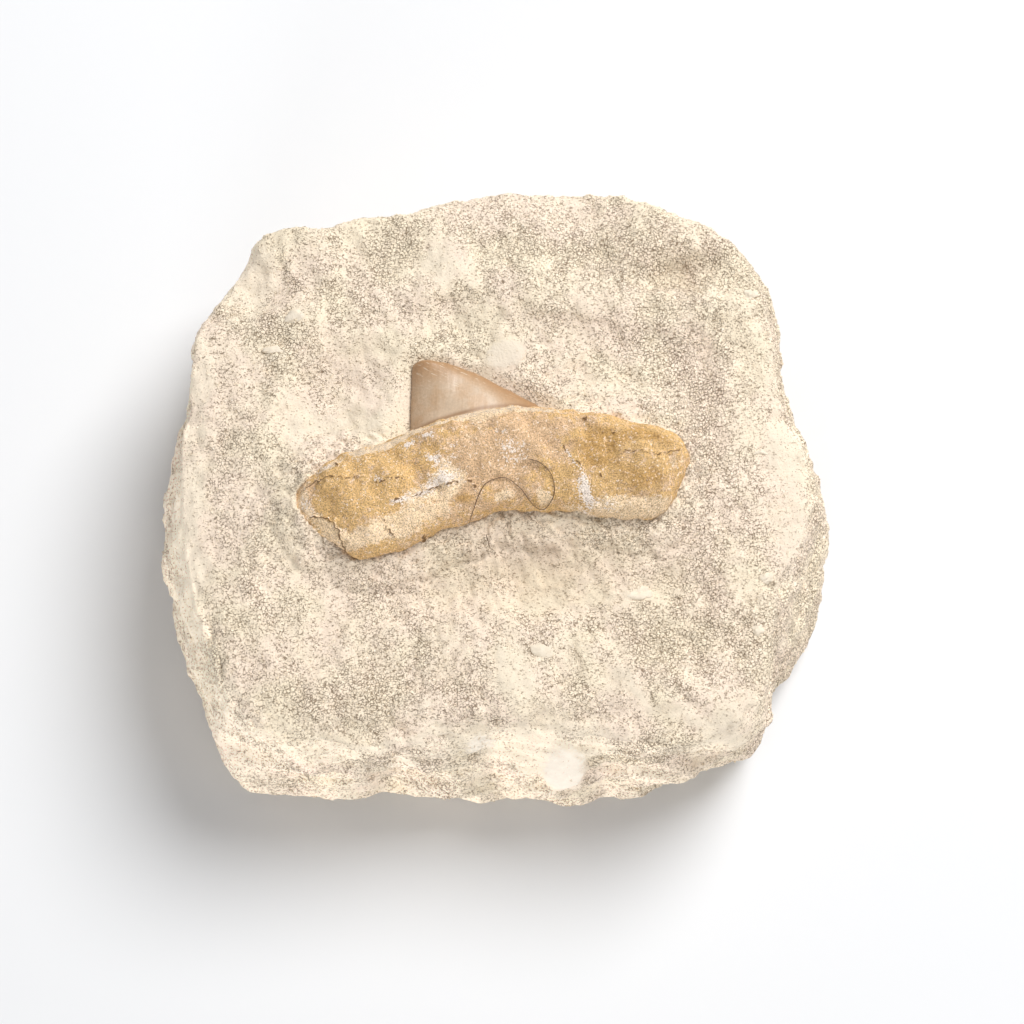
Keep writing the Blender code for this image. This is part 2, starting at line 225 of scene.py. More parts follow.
class Recipe:
    # A material, the one method that adds any node to it, and short names for the nodes used most.
    def __init__(self, name):
        self.material = bpy.data.materials.new(name)
        self.material.use_nodes = True
        self.tree = self.material.node_tree
        self.shader = self.tree.nodes["Principled BSDF"]

    def add(self, kind, settings=None, sockets=None, output=0):
        # A node of this type: its settings first, then the values or links of its sockets.
        node = self.tree.nodes.new(kind)
        for name, value in (settings or {}).items():
            if name == "stops":
                self.setStops(node.color_ramp, value)
            else:
                setattr(node, name, value)
        for name, value in (sockets or {}).items():
            self.feed(node.inputs[name], value)
        return Wire(self, node.outputs[output])

    def feed(self, socket, value):
        # A link from a wire, a colour made opaque, or a plain value.
        if isinstance(value, Wire):
            self.tree.links.new(value.socket, socket)
        elif isinstance(value, tuple) and len(value) == 3 and socket.type == "RGBA":
            socket.default_value = (*value, 1.0)
        else:
            socket.default_value = value

    def setStops(self, colourRamp, stops):
        # Each stop is a place from 0 to 1 and its colour.
        while len(colourRamp.elements) < len(stops):
            colourRamp.elements.new(0.5)
        for element, (position, colour) in zip(colourRamp.elements, stops):
            element.position, element.color = position, (*colour, 1.0)

    def millimetres(self):
        # The object's own place, times 1000.
        coordinates = self.add("ShaderNodeTexCoord", output="Object")
        return self.add("ShaderNodeVectorMath", {"operation": "SCALE"}, {0: coordinates, "Scale": 1000.0})

    def value(self, name):
        # A mask that the mesh carries.
        return self.add("ShaderNodeAttribute", {"attribute_name": name}, output="Fac")

    def noise(self, place, scale, detail=3.0, roughness=0.55, output="Fac"):
        # Soft noise of about 0 to 1, with this many waves to a millimetre.
        return self.add("ShaderNodeTexNoise", {}, {
            "Vector": place, "Scale": scale, "Detail": detail, "Roughness": roughness}, output)

    def seams(self, place, scale):
        # Distance to the border between two cells.
        sockets = {"Vector": place, "Scale": scale}
        return self.add("ShaderNodeTexVoronoi", {"feature": "DISTANCE_TO_EDGE"}, sockets, "Distance")

    def cellTone(self, place, scale):
        # One even number for each cell: the red of its colour.
        sockets = {"Vector": place, "Scale": scale}
        colour = self.add("ShaderNodeTexVoronoi", {"feature": "F1"}, sockets, "Color")
        return self.add("ShaderNodeSeparateColor", {}, {"Color": colour})

    def warped(self, place, scale, amount):
        # The place moved by a colour noise, centred on nothing.
        drift = self.noise(place, scale, 2.0, output="Color")
        centred = self.add("ShaderNodeVectorMath", {"operation": "SUBTRACT"}, {0: drift, 1: (0.5, 0.5, 0.5)})
        moved = self.add("ShaderNodeVectorMath", {"operation": "SCALE"}, {0: centred, "Scale": amount})
        return self.add("ShaderNodeVectorMath", {"operation": "ADD"}, {0: place, 1: moved})

    def stretched(self, place, factors):
        # The place with each of its axes times its own factor.
        return self.add("ShaderNodeVectorMath", {"operation": "MULTIPLY"}, {0: place, 1: factors})

    def smooth(self, value, low, high, start=0.0, end=1.0):
        # From start to end while the value goes from low to high, as 3tt - 2ttt.
        return self.add("ShaderNodeMapRange", {"interpolation_type": "SMOOTHSTEP"}, {
            "Value": value, "From Min": low, "From Max": high, "To Min": start, "To Max": end})

    def blend(self, share, first, second, kind="MIX"):
        # First times 1 - share, plus second times share.
        return self.add("ShaderNodeMix", {"data_type": "RGBA", "blend_type": kind, "clamp_factor": True},
                        {0: share, 6: first, 7: second}, 2)

    def most(self, first, second):
        # The larger of two.
        return first.maths("MAXIMUM", first, second)

    def toned(self, colour, tone):
        # The colour times a grey.
        grey = self.add("ShaderNodeCombineColor", {}, {0: tone, 1: tone, 2: tone})
        return self.blend(1.0, colour, grey, "MULTIPLY")

    def bump(self, height, distance):
        # Height in millimetres times the distance that one of them stands for.
        return self.add("ShaderNodeBump", {}, {"Height": height, "Strength": 1.0, "Distance": distance * mm})

    def finish(self, colour, roughness, normal, **fixed):
        # What varies feeds colour, roughness and normal; the fixed values stay even.
        self.feed(self.shader.inputs["Base Color"], colour)
        self.feed(self.shader.inputs["Roughness"], roughness)
        self.feed(self.shader.inputs["Normal"], normal)
        for name, value in fixed.items():
            self.feed(self.shader.inputs[name.replace("_", " ")], value)
        return self.material


view = {
    "target": (2.73, -6.86, 36.0),  # mm, in the frame
    "tilt": 12.0,  # degrees from straight down
    "distance": 520.0,  # mm
    "lens": 120.66,  # mm
}


def addCamera():
    # The camera stands back from its target along a line tilted towards the viewer.
    tilt = math.radians(view["tilt"])
    away = np.array([0, -math.sin(tilt), math.cos(tilt)]) * view["distance"]
    data = bpy.data.cameras.new("photoCamera")
    data.lens = view["lens"]
    camera = bpy.data.objects.new("photoCamera", data)
    camera.location = (np.array(view["target"]) + away) * mm
    camera.rotation_euler = (tilt, 0, 0)
    bpy.context.scene.collection.objects.link(camera)
    bpy.context.scene.camera = camera


studio = {
    "floor": (0.800, 0.810, 0.830),
    "floorShade": (0.780, 0.790, 0.810),
    "floorReach": 3.0,  # half its width, m
    "floorDrop": 0.0002,  # m below the block
    "sky": 0.36,  # brightness of the white surroundings
    # name: place, size across (m), power (W), colour
    "lamps": {
        "keyPanel": ((0.46, 0.52, 0.9), 0.66, 13.6, (1.0, 0.995, 0.985)),
        "frontPanel": ((-0.20, -1.07, 0.21), 0.42, 5.2, (1.0, 0.995, 0.985)),
    },
    "aim": (0.0, 0.0, 0.02),
}


def addStudio():
    # White surroundings, two round panels turned to the aim, and a pale floor just below the block.
    world = bpy.data.worlds.new("whiteRoom")
    world.use_nodes = True
    background = world.node_tree.nodes["Background"]
    background.inputs["Color"].default_value = (1, 1, 1, 1)
    background.inputs["Strength"].default_value = studio["sky"]
    bpy.context.scene.world = world
    bpy.context.scene.view_settings.view_transform = "Standard"
    for name, (place, size, power, colour) in studio["lamps"].items():
        data = bpy.data.lights.new(name, "AREA")
        data.shape, data.size, data.energy, data.color = "DISK", size, power, colour
        lamp = bpy.data.objects.new(name, data)
        lamp.location = place
        toAim = np.array(studio["aim"]) - place
        across = math.hypot(toAim[0], toAim[1])
        lamp.rotation_euler = (math.atan2(across, -toAim[2]), 0, math.atan2(toAim[1], toAim[0]) - math.pi / 2)
        bpy.context.scene.collection.objects.link(lamp)
    recipe = Recipe("paleFloor")
    place = recipe.millimetres()
    paper = recipe.noise(place, 0.05, 2.0)
    tone = recipe.blend(paper * 0.1, studio["floor"], studio["floorShade"])
    recipe.finish(tone, 0.9, recipe.bump(paper, 0.01))
    half, below = studio["floorReach"], -studio["floorDrop"]
    mesh = bpy.data.meshes.new("floor")
    corners = [(-half, -half, below), (half, -half, below), (half, half, below), (-half, half, below)]
    mesh.from_pydata(corners, [], [(0, 1, 2, 3)])
    mesh.materials.append(recipe.material)
    floor = bpy.data.objects.new("floor", mesh)
    bpy.context.scene.collection.objects.link(floor)


addCamera()
addStudio()
print("camera and studio made")


# The tooth's tables and outlines come first, because the rock needs them too.
root = {
    "ends": (-30.3, 30.2),
    "back": [
        (-30.3, -2.0), (-29.4, -0.7), (-26, 1.8), (-22.5, 4.2), (-18, 5.2), (-13, 7.2), (-9, 8.8),
        (-5.5, 9.8), (-1, 10.9), (3.8, 11.4), (10.8, 10.6), (17.5, 10.1), (21.3, 8.8), (25.8, 8.1),
        (28.7, 6.6), (30.2, 3.4)],
    "front": [
        (-30.3, -4.2), (-29.3, -6.3), (-27, -8.4), (-23.2, -10.6), (-21, -12.4), (-18.5, -12.4),
        (-14.5, -11.2), (-11.5, -9.9), (-7.4, -7.7), (-3.8, -7.1), (0, -5.0), (4, -4.9),
        (12.5, -5.0), (16.6, -5.8), (21, -6.3), (25.2, -6.2), (27.2, -4), (28.8, -0.5), (30.2, 3.4)],
    "midHeight": 33.4,
    "rise": 6.0,
    "depth": 6.0,
    "squareness": 3.2,
    "rows": 372,
    "columns": 250,
    "buriedColumns": 70,
    # x, y, reach along, reach across, height
    "lumps": [
        (3, 4.5, 9, 4.5, 0.9), (-1, -3.2, 3, 1.8, 0.5), (7.5, -2.8, 2.6, 1.8, 0.4), (3.5, -0.5, 2, 1.5, -0.5),
        (-21, 4.6, 0.9, 1.6, -1.3), (-25.5, -7.6, 4, 2.4, -0.9), (-20, -1, 5, 3, 0.5),
        (-12, -2.6, 7, 1.4, -0.5), (14, 4, 1.6, 6, -0.4), (23, 3, 5, 4, 0.4), (21, -3, 5, 3, -0.4)],
    # each crack: half width, depth, and its line
    "cracks": [
        (0.10, 0.38, [(-28.3, -1.7), (-26.2, -1.1), (-25.1, -0.5), (-22.4, -0.85), (-20.1, -0.7)]),
        (0.08, 0.22, [(-17.6, -1.2), (-17.1, -1.5), (-15.4, -0.9), (-13.3, -0.9)]),
        (0.12, 0.42, [(-15.1, -4.4), (-12.2, -3.7), (-11, -3.2), (-9.5, -2.4), (-7.2, -1.8), (-5.4, -1.5)]),
        (0.10, 0.34, [
            (-27.7, -6.2), (-25.4, -6.4), (-24.2, -7.1), (-23.1, -8.5), (-22.8, -10), (-22.2, -11.1)]),
        (0.09, 0.28, [(-16.3, -7.2), (-15.9, -8.3), (-14.8, -9.6)]),
        (0.09, 0.28, [(19.3, 3.6), (22.3, 3.5), (24.6, 3.2), (26.6, 3.6), (28.4, 4.2)]),
        (0.09, 0.18, [(10.4, 4.2), (11.6, 2.9), (12.9, 1.6), (13.8, 0.3)])],
    # x, y, radius, depth
    "pits": [
        (-3.4, -1.5, 0.35, 0.5), (-2.8, -2.2, 0.3, 0.4), (14, 8.5, 0.35, 0.5), (18.4, 6.4, 0.3, 0.4),
        (18.8, 4.9, 0.28, 0.35), (16.3, -0.4, 0.3, 0.35), (-10.4, -9.3, 0.4, 0.4), (-23.6, 1.6, 0.3, 0.3)],
    # x, y, reach along, reach across, turn, amount
    "white": [
        (-20, 3.9, 0.45, 0.9, 0, 1.0), (-12.5, 4.8, 1.0, 0.5, 25, 1.1), (-10.1, 6.0, 0.9, 0.5, 15, 1.0),
        (-9.3, 2.4, 1.1, 0.6, -10, 0.9), (12.1, 2.3, 2.2, 0.3, -47, 0.8), (13.9, -2.7, 1.10, 2.2, 4, 1.4),
        (3.1, 3.2, 2.0, 1.9, 0, 0.45), (-7.6, -1.1, 2.5, 0.8, 12, 0.75), (-28.6, -4.2, 1.2, 1.6, 0, 0.5),
        (-14.0, -4.0, 1.3, 0.4, 15, 0.6), (17.2, -4.4, 2.6, 0.8, 0, 0.4), (-7.0, 1.4, 1.8, 1.6, 0, 0.35),
        (-11.0, -3.0, 3.4, 0.7, 20, 0.62), (-25.4, 1.3, 3.2, 0.5, 28, 0.5), (-17.4, -0.5, 0.9, 0.5, 0, 0.6),
        (-6.3, 4.0, 1.0, 0.5, 60, 0.5), (1.5, 6.0, 1.2, 0.4, 0, 0.4)],
    "rosy": [
        (0, 3, 9, 8, 20, 0.9), (-8, -4, 6, 3, 15, 0.7), (9, 7, 7, 3, 0, 0.6), (26, -2, 4, 4, 0, 0.4),
        (-28.6, -3.5, 1.5, 3.4, 0, 1.0), (-18, -9, 6, 2.4, 8, 0.6)],
    "amber": [
        (-4.2, -3.8, 1.7, 1.2, 0, 0.8), (16, 3.6, 3.8, 3.2, 0, 1.0), (-21.6, 2.2, 1.8, 1.8, 0, 0.6),
        (-15.6, 3.8, 1.9, 1.0, 10, 0.8), (22.6, 6.0, 6.5, 1.5, -6, 0.9), (-24, -3.4, 4.0, 2.2, 8, 0.6),
        (8.5, 6.2, 5.0, 2.6, 0, 0.35), (-17.5, -4.0, 4.5, 2.0, 12, 0.2), (-9.5, 4.2, 2.4, 1.6, 0, 0.55),
        (23, -0.3, 5.5, 2.4, 0, 0.8), (-0.6, -1.0, 3.0, 2.4, 40, 0.35), (10.3, -1.6, 1.8, 2.6, 0, 0.4)],
    "fair": [
        (1.4, -3.2, 1.7, 0.9, 0, 0.9), (7.9, -3.6, 1.2, 1.3, 0, 0.9), (-17, -9.6, 6.0, 1.7, 8, 0.8),
        (-9.5, -6.3, 3.4, 1.6, 20, 0.6), (-3.0, 6.5, 4.5, 2.2, 12, 0.45), (0, 9.6, 9.0, 1.0, 6, 0.7),
        (17, -5.2, 8.0, 1.3, -3, 0.5), (27.4, 2.0, 1.6, 3.0, 0, 0.35),
        (-25, -8.2, 4.6, 1.6, -38, 0.8), (-14.5, -6.8, 6.5, 1.6, 20, 0.6), (-28.8, -3.5, 1.2, 3.0, 0, 0.8),
        (-6.5, -3.0, 1.6, 2.8, -10, 0.5), (-24.5, 1.8, 4.0, 0.7, 28, 0.8),
        (-9.6, -2.4, 4.6, 1.5, 20, 0.9), (-7.2, 1.0, 2.2, 2.6, 0, 0.5), (22, -4.6, 7, 1.9, 2, 0.8)],
}

crown = {
    "left": [(-12.3, 1.5), (-12.6, 7.0), (-12.6, 11.8), (-12.5, 15.2), (-12.4, 18.0), (-11.9, 18.9)],
    "right": [(9.3, 5.5), (8.0, 11.3), (2.9, 14.2), (-2.7, 17.1), (-6.9, 18.6), (-9.6, 19.1)],
    "stations": [0.0, 0.28, 0.52, 0.74, 0.9, 1.0],
    "midHeight": (33.0, 32.9),
    "bulge": (3.8, 1.5),
    "back": (2.8, 1.4),
    "rows": 150,
    "columns": 200,
    "scratchTurn": 0.45,  # radians
}


def easedLine(table, x, ease=0.7):
    # Reads a table at x with its corners rounded: the mean of five readings a short way apart.
    stations, values = np.array(table).T
    eased = [np.interp(x + offset * ease, stations, values) for offset in (-1, -0.5, 0, 0.5, 1)]
    return np.mean(eased, axis=0)


def crownPlan(share, reach):
    # A point between the crown's two cutting edges: -1 is on the left edge and 1 on the right one.
    width = np.minimum(np.sin(share * math.pi) / math.sin(0.2 * math.pi), 1.0)
    tipWidth = np.sqrt(np.clip(1 - np.clip((share - 0.5) * 2, 0, 1) ** 26, 0, 1))
    width = np.where(share > 0.5, tipWidth, width)
    left, right = (
        np.stack([np.interp(share, crown["stations"], values) for values in zip(*crown[edge])], axis=-1)
        for edge in ("left", "right"))
    return (left + right) / 2 + (right - left) / 2 * (reach * width)[..., None], width


def toothOutlines():
    # The root's and the crown's outlines from above, as closed lines.
    x = np.linspace(*root["ends"], 90)
    rootLine = np.concatenate([np.stack([x, easedLine(root["front"], x)], axis=1),
                               np.stack([x, easedLine(root["back"], x)], axis=1)[::-1]])
    share = np.linspace(0.3, 1.0, 30)
    right = crownPlan(share, np.ones(30))[0]
    left = crownPlan(share, -np.ones(30))[0][::-1]
    return rootLine, np.concatenate([right, left])


rootOutline, crownOutline = toothOutlines()


rock = {
    "height": 33.0,
    # how far out the top starts to fall, over what distance, and how much
    "fallBack": (22, 25, 3.0),
    "fallFront": (24, 20, 2.4),
    "fallSides": (30, 20, 1.6),
    "scars": (1.8, 13.0),  # depth and spacing of the chip scars on the side
    "columns": 560,
    # share of the rows, and the ring that they reach there (0 at the top pole, 1 at the bottom one)
    "rowShares": [0.0, 0.52, 0.60, 0.90, 0.94, 1.0],
    "rowRings": [0.0, 0.40, 0.50, 0.81, 0.87, 1.0],
    "rows": 168,
    "widest": [
        (52.1, -4), (51.2, 4), (46.4, 12.5), (45, 19.5), (44.7, 28.8), (42, 37), (35.6, 42), (24, 45.6),
        (11, 47.3), (-2, 47.3), (-13, 45), (-26, 43), (-37, 40.5), (-42.2, 32.6), (-46.5, 25.5),
        (-47.6, 16.8), (-49.2, 9.4), (-52.9, 0.4), (-51.2, -11.2), (-49.4, -20.2), (-46.5, -29.6),
        (-44.8, -37.4), (-40, -42.5), (-32, -43.8), (-23, -44.6), (-16, -42.4), (-9, -45.2), (0, -44.9),
        (12, -45.6), (17, -43.4), (21, -44.2), (29, -43.2), (34, -40.8), (40, -38.5), (42.5, -35),
        (42.8, -31.3), (46.6, -23.5), (50.7, -19.4), (51.5, -14)],
    "rim": [
        (49.5, -3), (47.5, 5), (45, 11), (43.8, 19), (42, 28.6), (39.3, 36), (34.5, 40.5), (25, 44.7),
        (19.5, 46.6), (9, 46.9), (-2, 46.7), (-13, 43.5), (-27.5, 41.3), (-35.8, 40.6), (-39.7, 33.6),
        (-43.2, 28.1), (-46, 23.5), (-46.5, 17), (-47.5, 7), (-47.5, -4), (-46, -15),
        (-42.5, -25.5), (-40.5, -33),
        (-35, -38.5), (-28, -39.6), (-10, -39.6), (-1, -37.4), (7, -37.8), (16, -39.4), (25, -40.4),
        (35, -39), (41, -32.5), (42.5, -22), (43.5, -16), (47, -10)],
    "stations": [0.0, 0.40, 0.46, 0.50, 0.58, 0.67, 0.76, 0.82, 0.87, 1.0],
    "ofRim": [0.0, 0.94, 1.00, 0.86, 0.55, 0.24, 0.05, 0.0, 0.0, 0.0],
    "ofWidest": [0.0, 0.0, 0.0, 0.14, 0.45, 0.76, 0.95, 1.0, 0.93, 0.0],
    "ofHeight": [1.0, 1.0, 0.985, 0.92, 0.72, 0.50, 0.30, 0.12, 0.0, 0.0],
    "crownBed": 29.4,  # height of the bed under the crown
    "soleRing": 0.865,  # the rings past this one lie on the ground
    "topFloor": 18.0,  # the zones below count only above this height
    # x, y, reach along, reach across, turn, height
    "swells": [
        (6, -14.5, 27, 5.5, 3, -1.9), (-23, 14.5, 8, 5.5, 30, -1.2), (-4, 15, 12, 6, -25, 0.7),
        (-19, 7.5, 9, 2.2, 22, 1.6), (18, 12.5, 10, 2.5, -6, 1.3), (29, 34, 6, 4.5, 10, -2.2),
        (31, 28.5, 13, 2.2, -8, 1.1), (3, 30, 16, 5, -12, 1.0), (-20, 33, 12, 4, 8, -1.0),
        (-38, 33, 6, 7, 40, -3.4), (-14, -29, 15, 5, 2, -0.9), (1, -31, 4, 9, 35, 1.2),
        (29, -20, 11, 7, 0, -1.3), (27, -31.5, 14, 2.4, -22, 1.1), (-36, -6, 6, 18, 6, 0.9)],
    # x, y, direction, half length, rise towards its left
    "ledges": [
        (-37, 27, 12, 10, -1.6), (-12, 27.5, 14, 14, 1.0), (24, 24, -9, 20, 1.1),
        (-2, -36, 3, 34, 1.8), (30, 35, 16, 10, 1.3)],
    # x, y, reach along, reach across, turn, amount: where the grain shows and where it is smeared smooth
    "coarse": [
        (-15.6, -33, 17, 4, 0, 0.6), (13.2, -30.4, 3, 3.5, 0, 0.7), (30.6, -23, 10, 7, 0, 1.0),
        (22.3, 35, 13, 5, 0, 0.7), (-36.8, 24, 8, 3, 0, 0.8), (-6.5, 21.9, 5, 1.8, 0, 0.6),
        (33, 10, 8, 14, 0, 0.8), (-33, -18, 9, 8, 0, 0.3), (-30, 3, 7, 6, 0, 0.35),
        (20, 22, 14, 5, -10, 0.4), (-22, 30, 14, 5, 0, 0.45), (22, -8, 9, 2.2, 0, 0.6),
        (-20, -15, 9, 2.5, 10, 0.3), (0, 38, 22, 5, 0, 0.4), (-14, -44, 22, 3.4, 0, 0.7),
        (22, -41, 12, 3.0, 12, 0.8), (38, -8, 7, 7, 0, 0.3)],
    "smooth": [
        (-21.3, 9.8, 8, 3.6, 12, 1.3), (-8, 34.6, 3.5, 3.5, 0, 1.0), (7.2, -12.9, 15, 4.6, 2, 0.5),
        (2.9, -29.5, 2.4, 6.0, 25, 1.1), (24.5, -34, 12.5, 1.6, -26, 1.0), (-45.1, 16.9, 1.4, 5.4, 0, 1.0),
        (-46.3, -8.7, 2.6, 15, 0, 1.0), (44, 6, 2.6, 7.5, 12, 0.9), (-2, -39.2, 33, 1.4, 2, 0.7),
        (-37.5, 34.5, 4, 4.5, 40, 1.2), (-26, -22, 6, 3.2, 20, 0.4), (12, -18.6, 14, 1.2, 4, 0.7),
        (37, -36, 5, 3, 40, 0.8), (-6, 25.5, 9, 1.8, 15, 0.6), (-19, 20, 6, 2.2, 8, 0.7),
        (46, -6, 3.5, 8, 0, 0.7), (-30, 10, 4, 2.5, 0, 0.5), (10, 23, 4, 1.6, 0, 0.5),
        (6.2, -42.5, 3.6, 2.6, -30, 1.0)],
    # x, z, half width, half height, how far it swells: the nodule on the front face
    "nodule": (10.9, 21.0, 3.3, 6.2, 0.6),
    # x, z, half width, half height: a chalky smear beside it
    "smear": (-1.9, 26.0, 3.4, 4.2),
    # x, y, half sizes along and across, turn, how far it swells: the big pale clast in the top
    "bigClast": (1.9, 20.0, 2.9, 2.3, 20, 0.25),
    "pale": [
        (-21.3, 9.8, 7.5, 3.4, 12, 0.8), (-8, 34.6, 3, 3, 0, 0.8), (2.9, -29.5, 2.2, 6.0, 25, 1.1),
        (24.5, -34, 12.5, 1.5, -26, 1.0), (-45.1, 16.9, 1.6, 5.4, 0, 1.2), (-46.6, -8.7, 2.2, 15, 0, 1.2),
        (44.3, 6, 2.4, 7.5, 12, 0.7), (-2, -39.4, 33, 1.4, 2, 0.8), (-37.5, 33.5, 4.4, 5, 40, 1.3),
        (-40, -38, 6, 5, -40, 0.9), (37, -36, 5, 3, 40, 0.8), (-30.7, 26.4, 1.4, 0.8, 10, 1.2),
        (-33.6, 20.8, 1.6, 0.5, 10, 1.2), (22.3, -17.3, 1.5, 0.9, 10, 1.3), (16.7, 40.3, 2.4, 1.6, 0, 1.0),
        (7.5, -26.3, 1.8, 1.0, 0, 1.0), (12, -18.6, 6, 0.9, 4, 0.7), (46, -8, 3.5, 8, 0, 0.6),
        (33, 28, 7, 1.2, -6, 0.7), (-30, 12, 3.0, 2.2, 20, 0.5), (7, 21, 3.5, 1.2, -15, 0.5),
        (6.2, -42.5, 3.6, 2.6, -30, 1.3), (-15, -31, 14, 5, 0, 0.35), (-38, 27.4, 6, 0.6, 20, 1.0)],
    "brown": [
        (29.3, 33.1, 4.2, 2.6, 0, 1.0), (6, -13, 19, 5.5, 2, 1.0), (24, 37, 8, 3, 0, 0.3),
        (30, -22, 8, 5, 0, 0.2), (0, -6.5, 24, 1.6, 6, 0.4), (-23, 19, 8, 3, 0, 0.2)],
}


def radiusAt(outline, angles):
    # Radius of a closed outline at these angles: the mean of four readings a degree or so apart.
    corners = np.array(outline)
    cornerAngles = np.arctan2(corners[:, 1], corners[:, 0])
    order = np.argsort(cornerAngles)
    radii = np.hypot(corners[:, 0], corners[:, 1])[order]
    eased = [np.interp(angles + offset, cornerAngles[order], radii, period=2 * math.pi)
             for offset in np.radians([-1.6, -0.5, 0.5, 1.6])]
    return np.mean(eased, axis=0)


def ledge(x, y, atX, atY, direction, halfLength, rise, width=1.1):
    # A low step: half the rise times tanh of the distance across, fading at its ends.
    along, across = turnedInto(x - atX, y - atY, direction)
    along, across = along / halfLength, across / width
    return 0.5 * rise * np.tanh(across) * np.exp(-along**4 - (across / 9) ** 2)


def topHeight(x, y):
    # The block's height less its fall towards the edges, plus every swell and ledge.
    height = np.full_like(x, rock["height"])
    for name, out in (("fallBack", y), ("fallFront", -y), ("fallSides", np.abs(x))):
        start, reach, depth = rock[name]
        height -= depth * np.clip((out - start) / reach, 0, 1) ** 2
    height += sum(mound(x, y, *row) for row in rock["swells"])
    height += sum(ledge(x, y, *row) for row in rock["ledges"])
    return height


def blockSurface(ring, angles):
    # Each ring is a share of the rim and of the widest outline, at a share of the top's height; chip
    # scars push the side, less on its left, and ripples lift the top.
    def read(name):
        spread = (-0.012, -0.006, 0.0, 0.006, 0.012)
        return np.mean([np.interp(ring + step, rock["stations"], rock[name]) for step in spread], axis=0)
    radius = radiusAt(rock["rim"], angles) * read("ofRim")
    radius += radiusAt(rock["widest"], angles) * read("ofWidest")
    x, y = radius * np.cos(angles), radius * np.sin(angles)
    share = np.where(ring > rock["soleRing"], 0.0, read("ofHeight"))
    points = np.stack([x, y, topHeight(x, y) * share], axis=-1)
    onSide = np.interp(ring, [0.46, 0.60, 0.80, 0.86], [0, 1, 1, 0])
    depth, spacing = rock["scars"]
    push = depth * (scallops(points, spacing, seed=5) - 0.45) + 0.7 * ripple(points, 12.0, seed=3)
    push *= 1 - 0.65 * np.exp(-((angles - 2.65) / 0.6) ** 2)
    outward = np.stack([np.cos(angles), np.sin(angles)], axis=-1)
    points[..., :2] += outward * (push * onSide)[..., None]
    flat = points * (1, 1, 0)
    lift = 0.42 * ripple(flat, 16.0, seed=8) + 0.22 * ripple(flat, 7.0, seed=9)
    points[..., 2] += lift * np.interp(ring, [0.47, 0.60], [1, 0])
    return points


def rootUnderside(x, y):
    # Height of the root's buried side over a point: the lower half of its section.
    back, front = easedLine(root["back"], x), easedLine(root["front"], x)
    across = np.clip(np.abs(2 * (y - (back + front) / 2) / np.maximum(back - front, 0.1)), 0, 1)
    start, end = root["ends"]
    along = np.clip(np.abs((x - (start + end) / 2) / ((end - start) / 2)), 0, 1)
    section = (1 - across ** root["squareness"]) ** (1 / root["squareness"])
    return root["midHeight"] - root["depth"] * np.sqrt(1 - along**8) * section


def noduleAndClast(points, ring):
    # Distances from the nodule, the smear and the big clast, in their half sizes, and how far the first
    # and the last swell: a dome, the root of 1 less the distance squared.
    x, y, z = np.moveaxis(points, -1, 0)
    atX, atZ, wide, high, swelling = rock["nodule"]
    onFront = y < -30
    fromNodule = np.where(onFront & (ring > 0.42), np.hypot((x - atX) / wide, (z - atZ) / high), 9.0)
    atX, atZ, wide, high = rock["smear"]
    fromSmear = np.where(onFront, np.hypot((x - atX) / wide, (z - atZ) / high), 9.0)
    atX, atY, along, across, turn, clastSwelling = rock["bigClast"]
    u, v = turnedInto(x - atX, y - atY, turn)
    fromClast = np.where(ring < 0.45, np.hypot(u / along, v / across), 9.0)
    domes = swelling * np.sqrt(np.clip(1.1 - fromNodule**2, 0, 1))
    domes += clastSwelling * np.sqrt(np.clip(1.1 - fromClast**2, 0, 1))
    return fromNodule, fromSmear, fromClast, domes


def rockRelief(points, ring, coarse):
    # Ripples, two sizes of clod that stand out where it is coarse, thin beds on the side, chips at the rim.
    rough = 0.16 * ripple(points, 3.4, seed=31) + 0.08 * ripple(points, 1.7, seed=32)
    for size, amount, seed in ((3.1, 0.26, 33), (1.5, 0.15, 34)):
        nearest, second = cellular(points, size, seed)
        rough += amount * (0.25 + 0.75 * coarse) * (np.minimum(second - nearest, 0.45) / 0.45 - 0.75)
    layers = ripple(points * (0.12, 0.12, 1.0), 3.6, seed=35)
    layers += 0.6 * ripple(points * (0.2, 0.2, 1.0), 1.6, seed=36)
    rough += 0.30 * layers * ramp(ring, 0.47, 0.54)
    nearest, second = cellular(points, 5.5, 37)
    chips = ramp(0.62 - nearest, 0.0, 0.35) * (fixedRandom(np.floor(points / 9.0), 4, 0) > 0.3)
    return rough - 0.8 * chips * np.exp(-((ring - 0.47) / 0.03) ** 2)


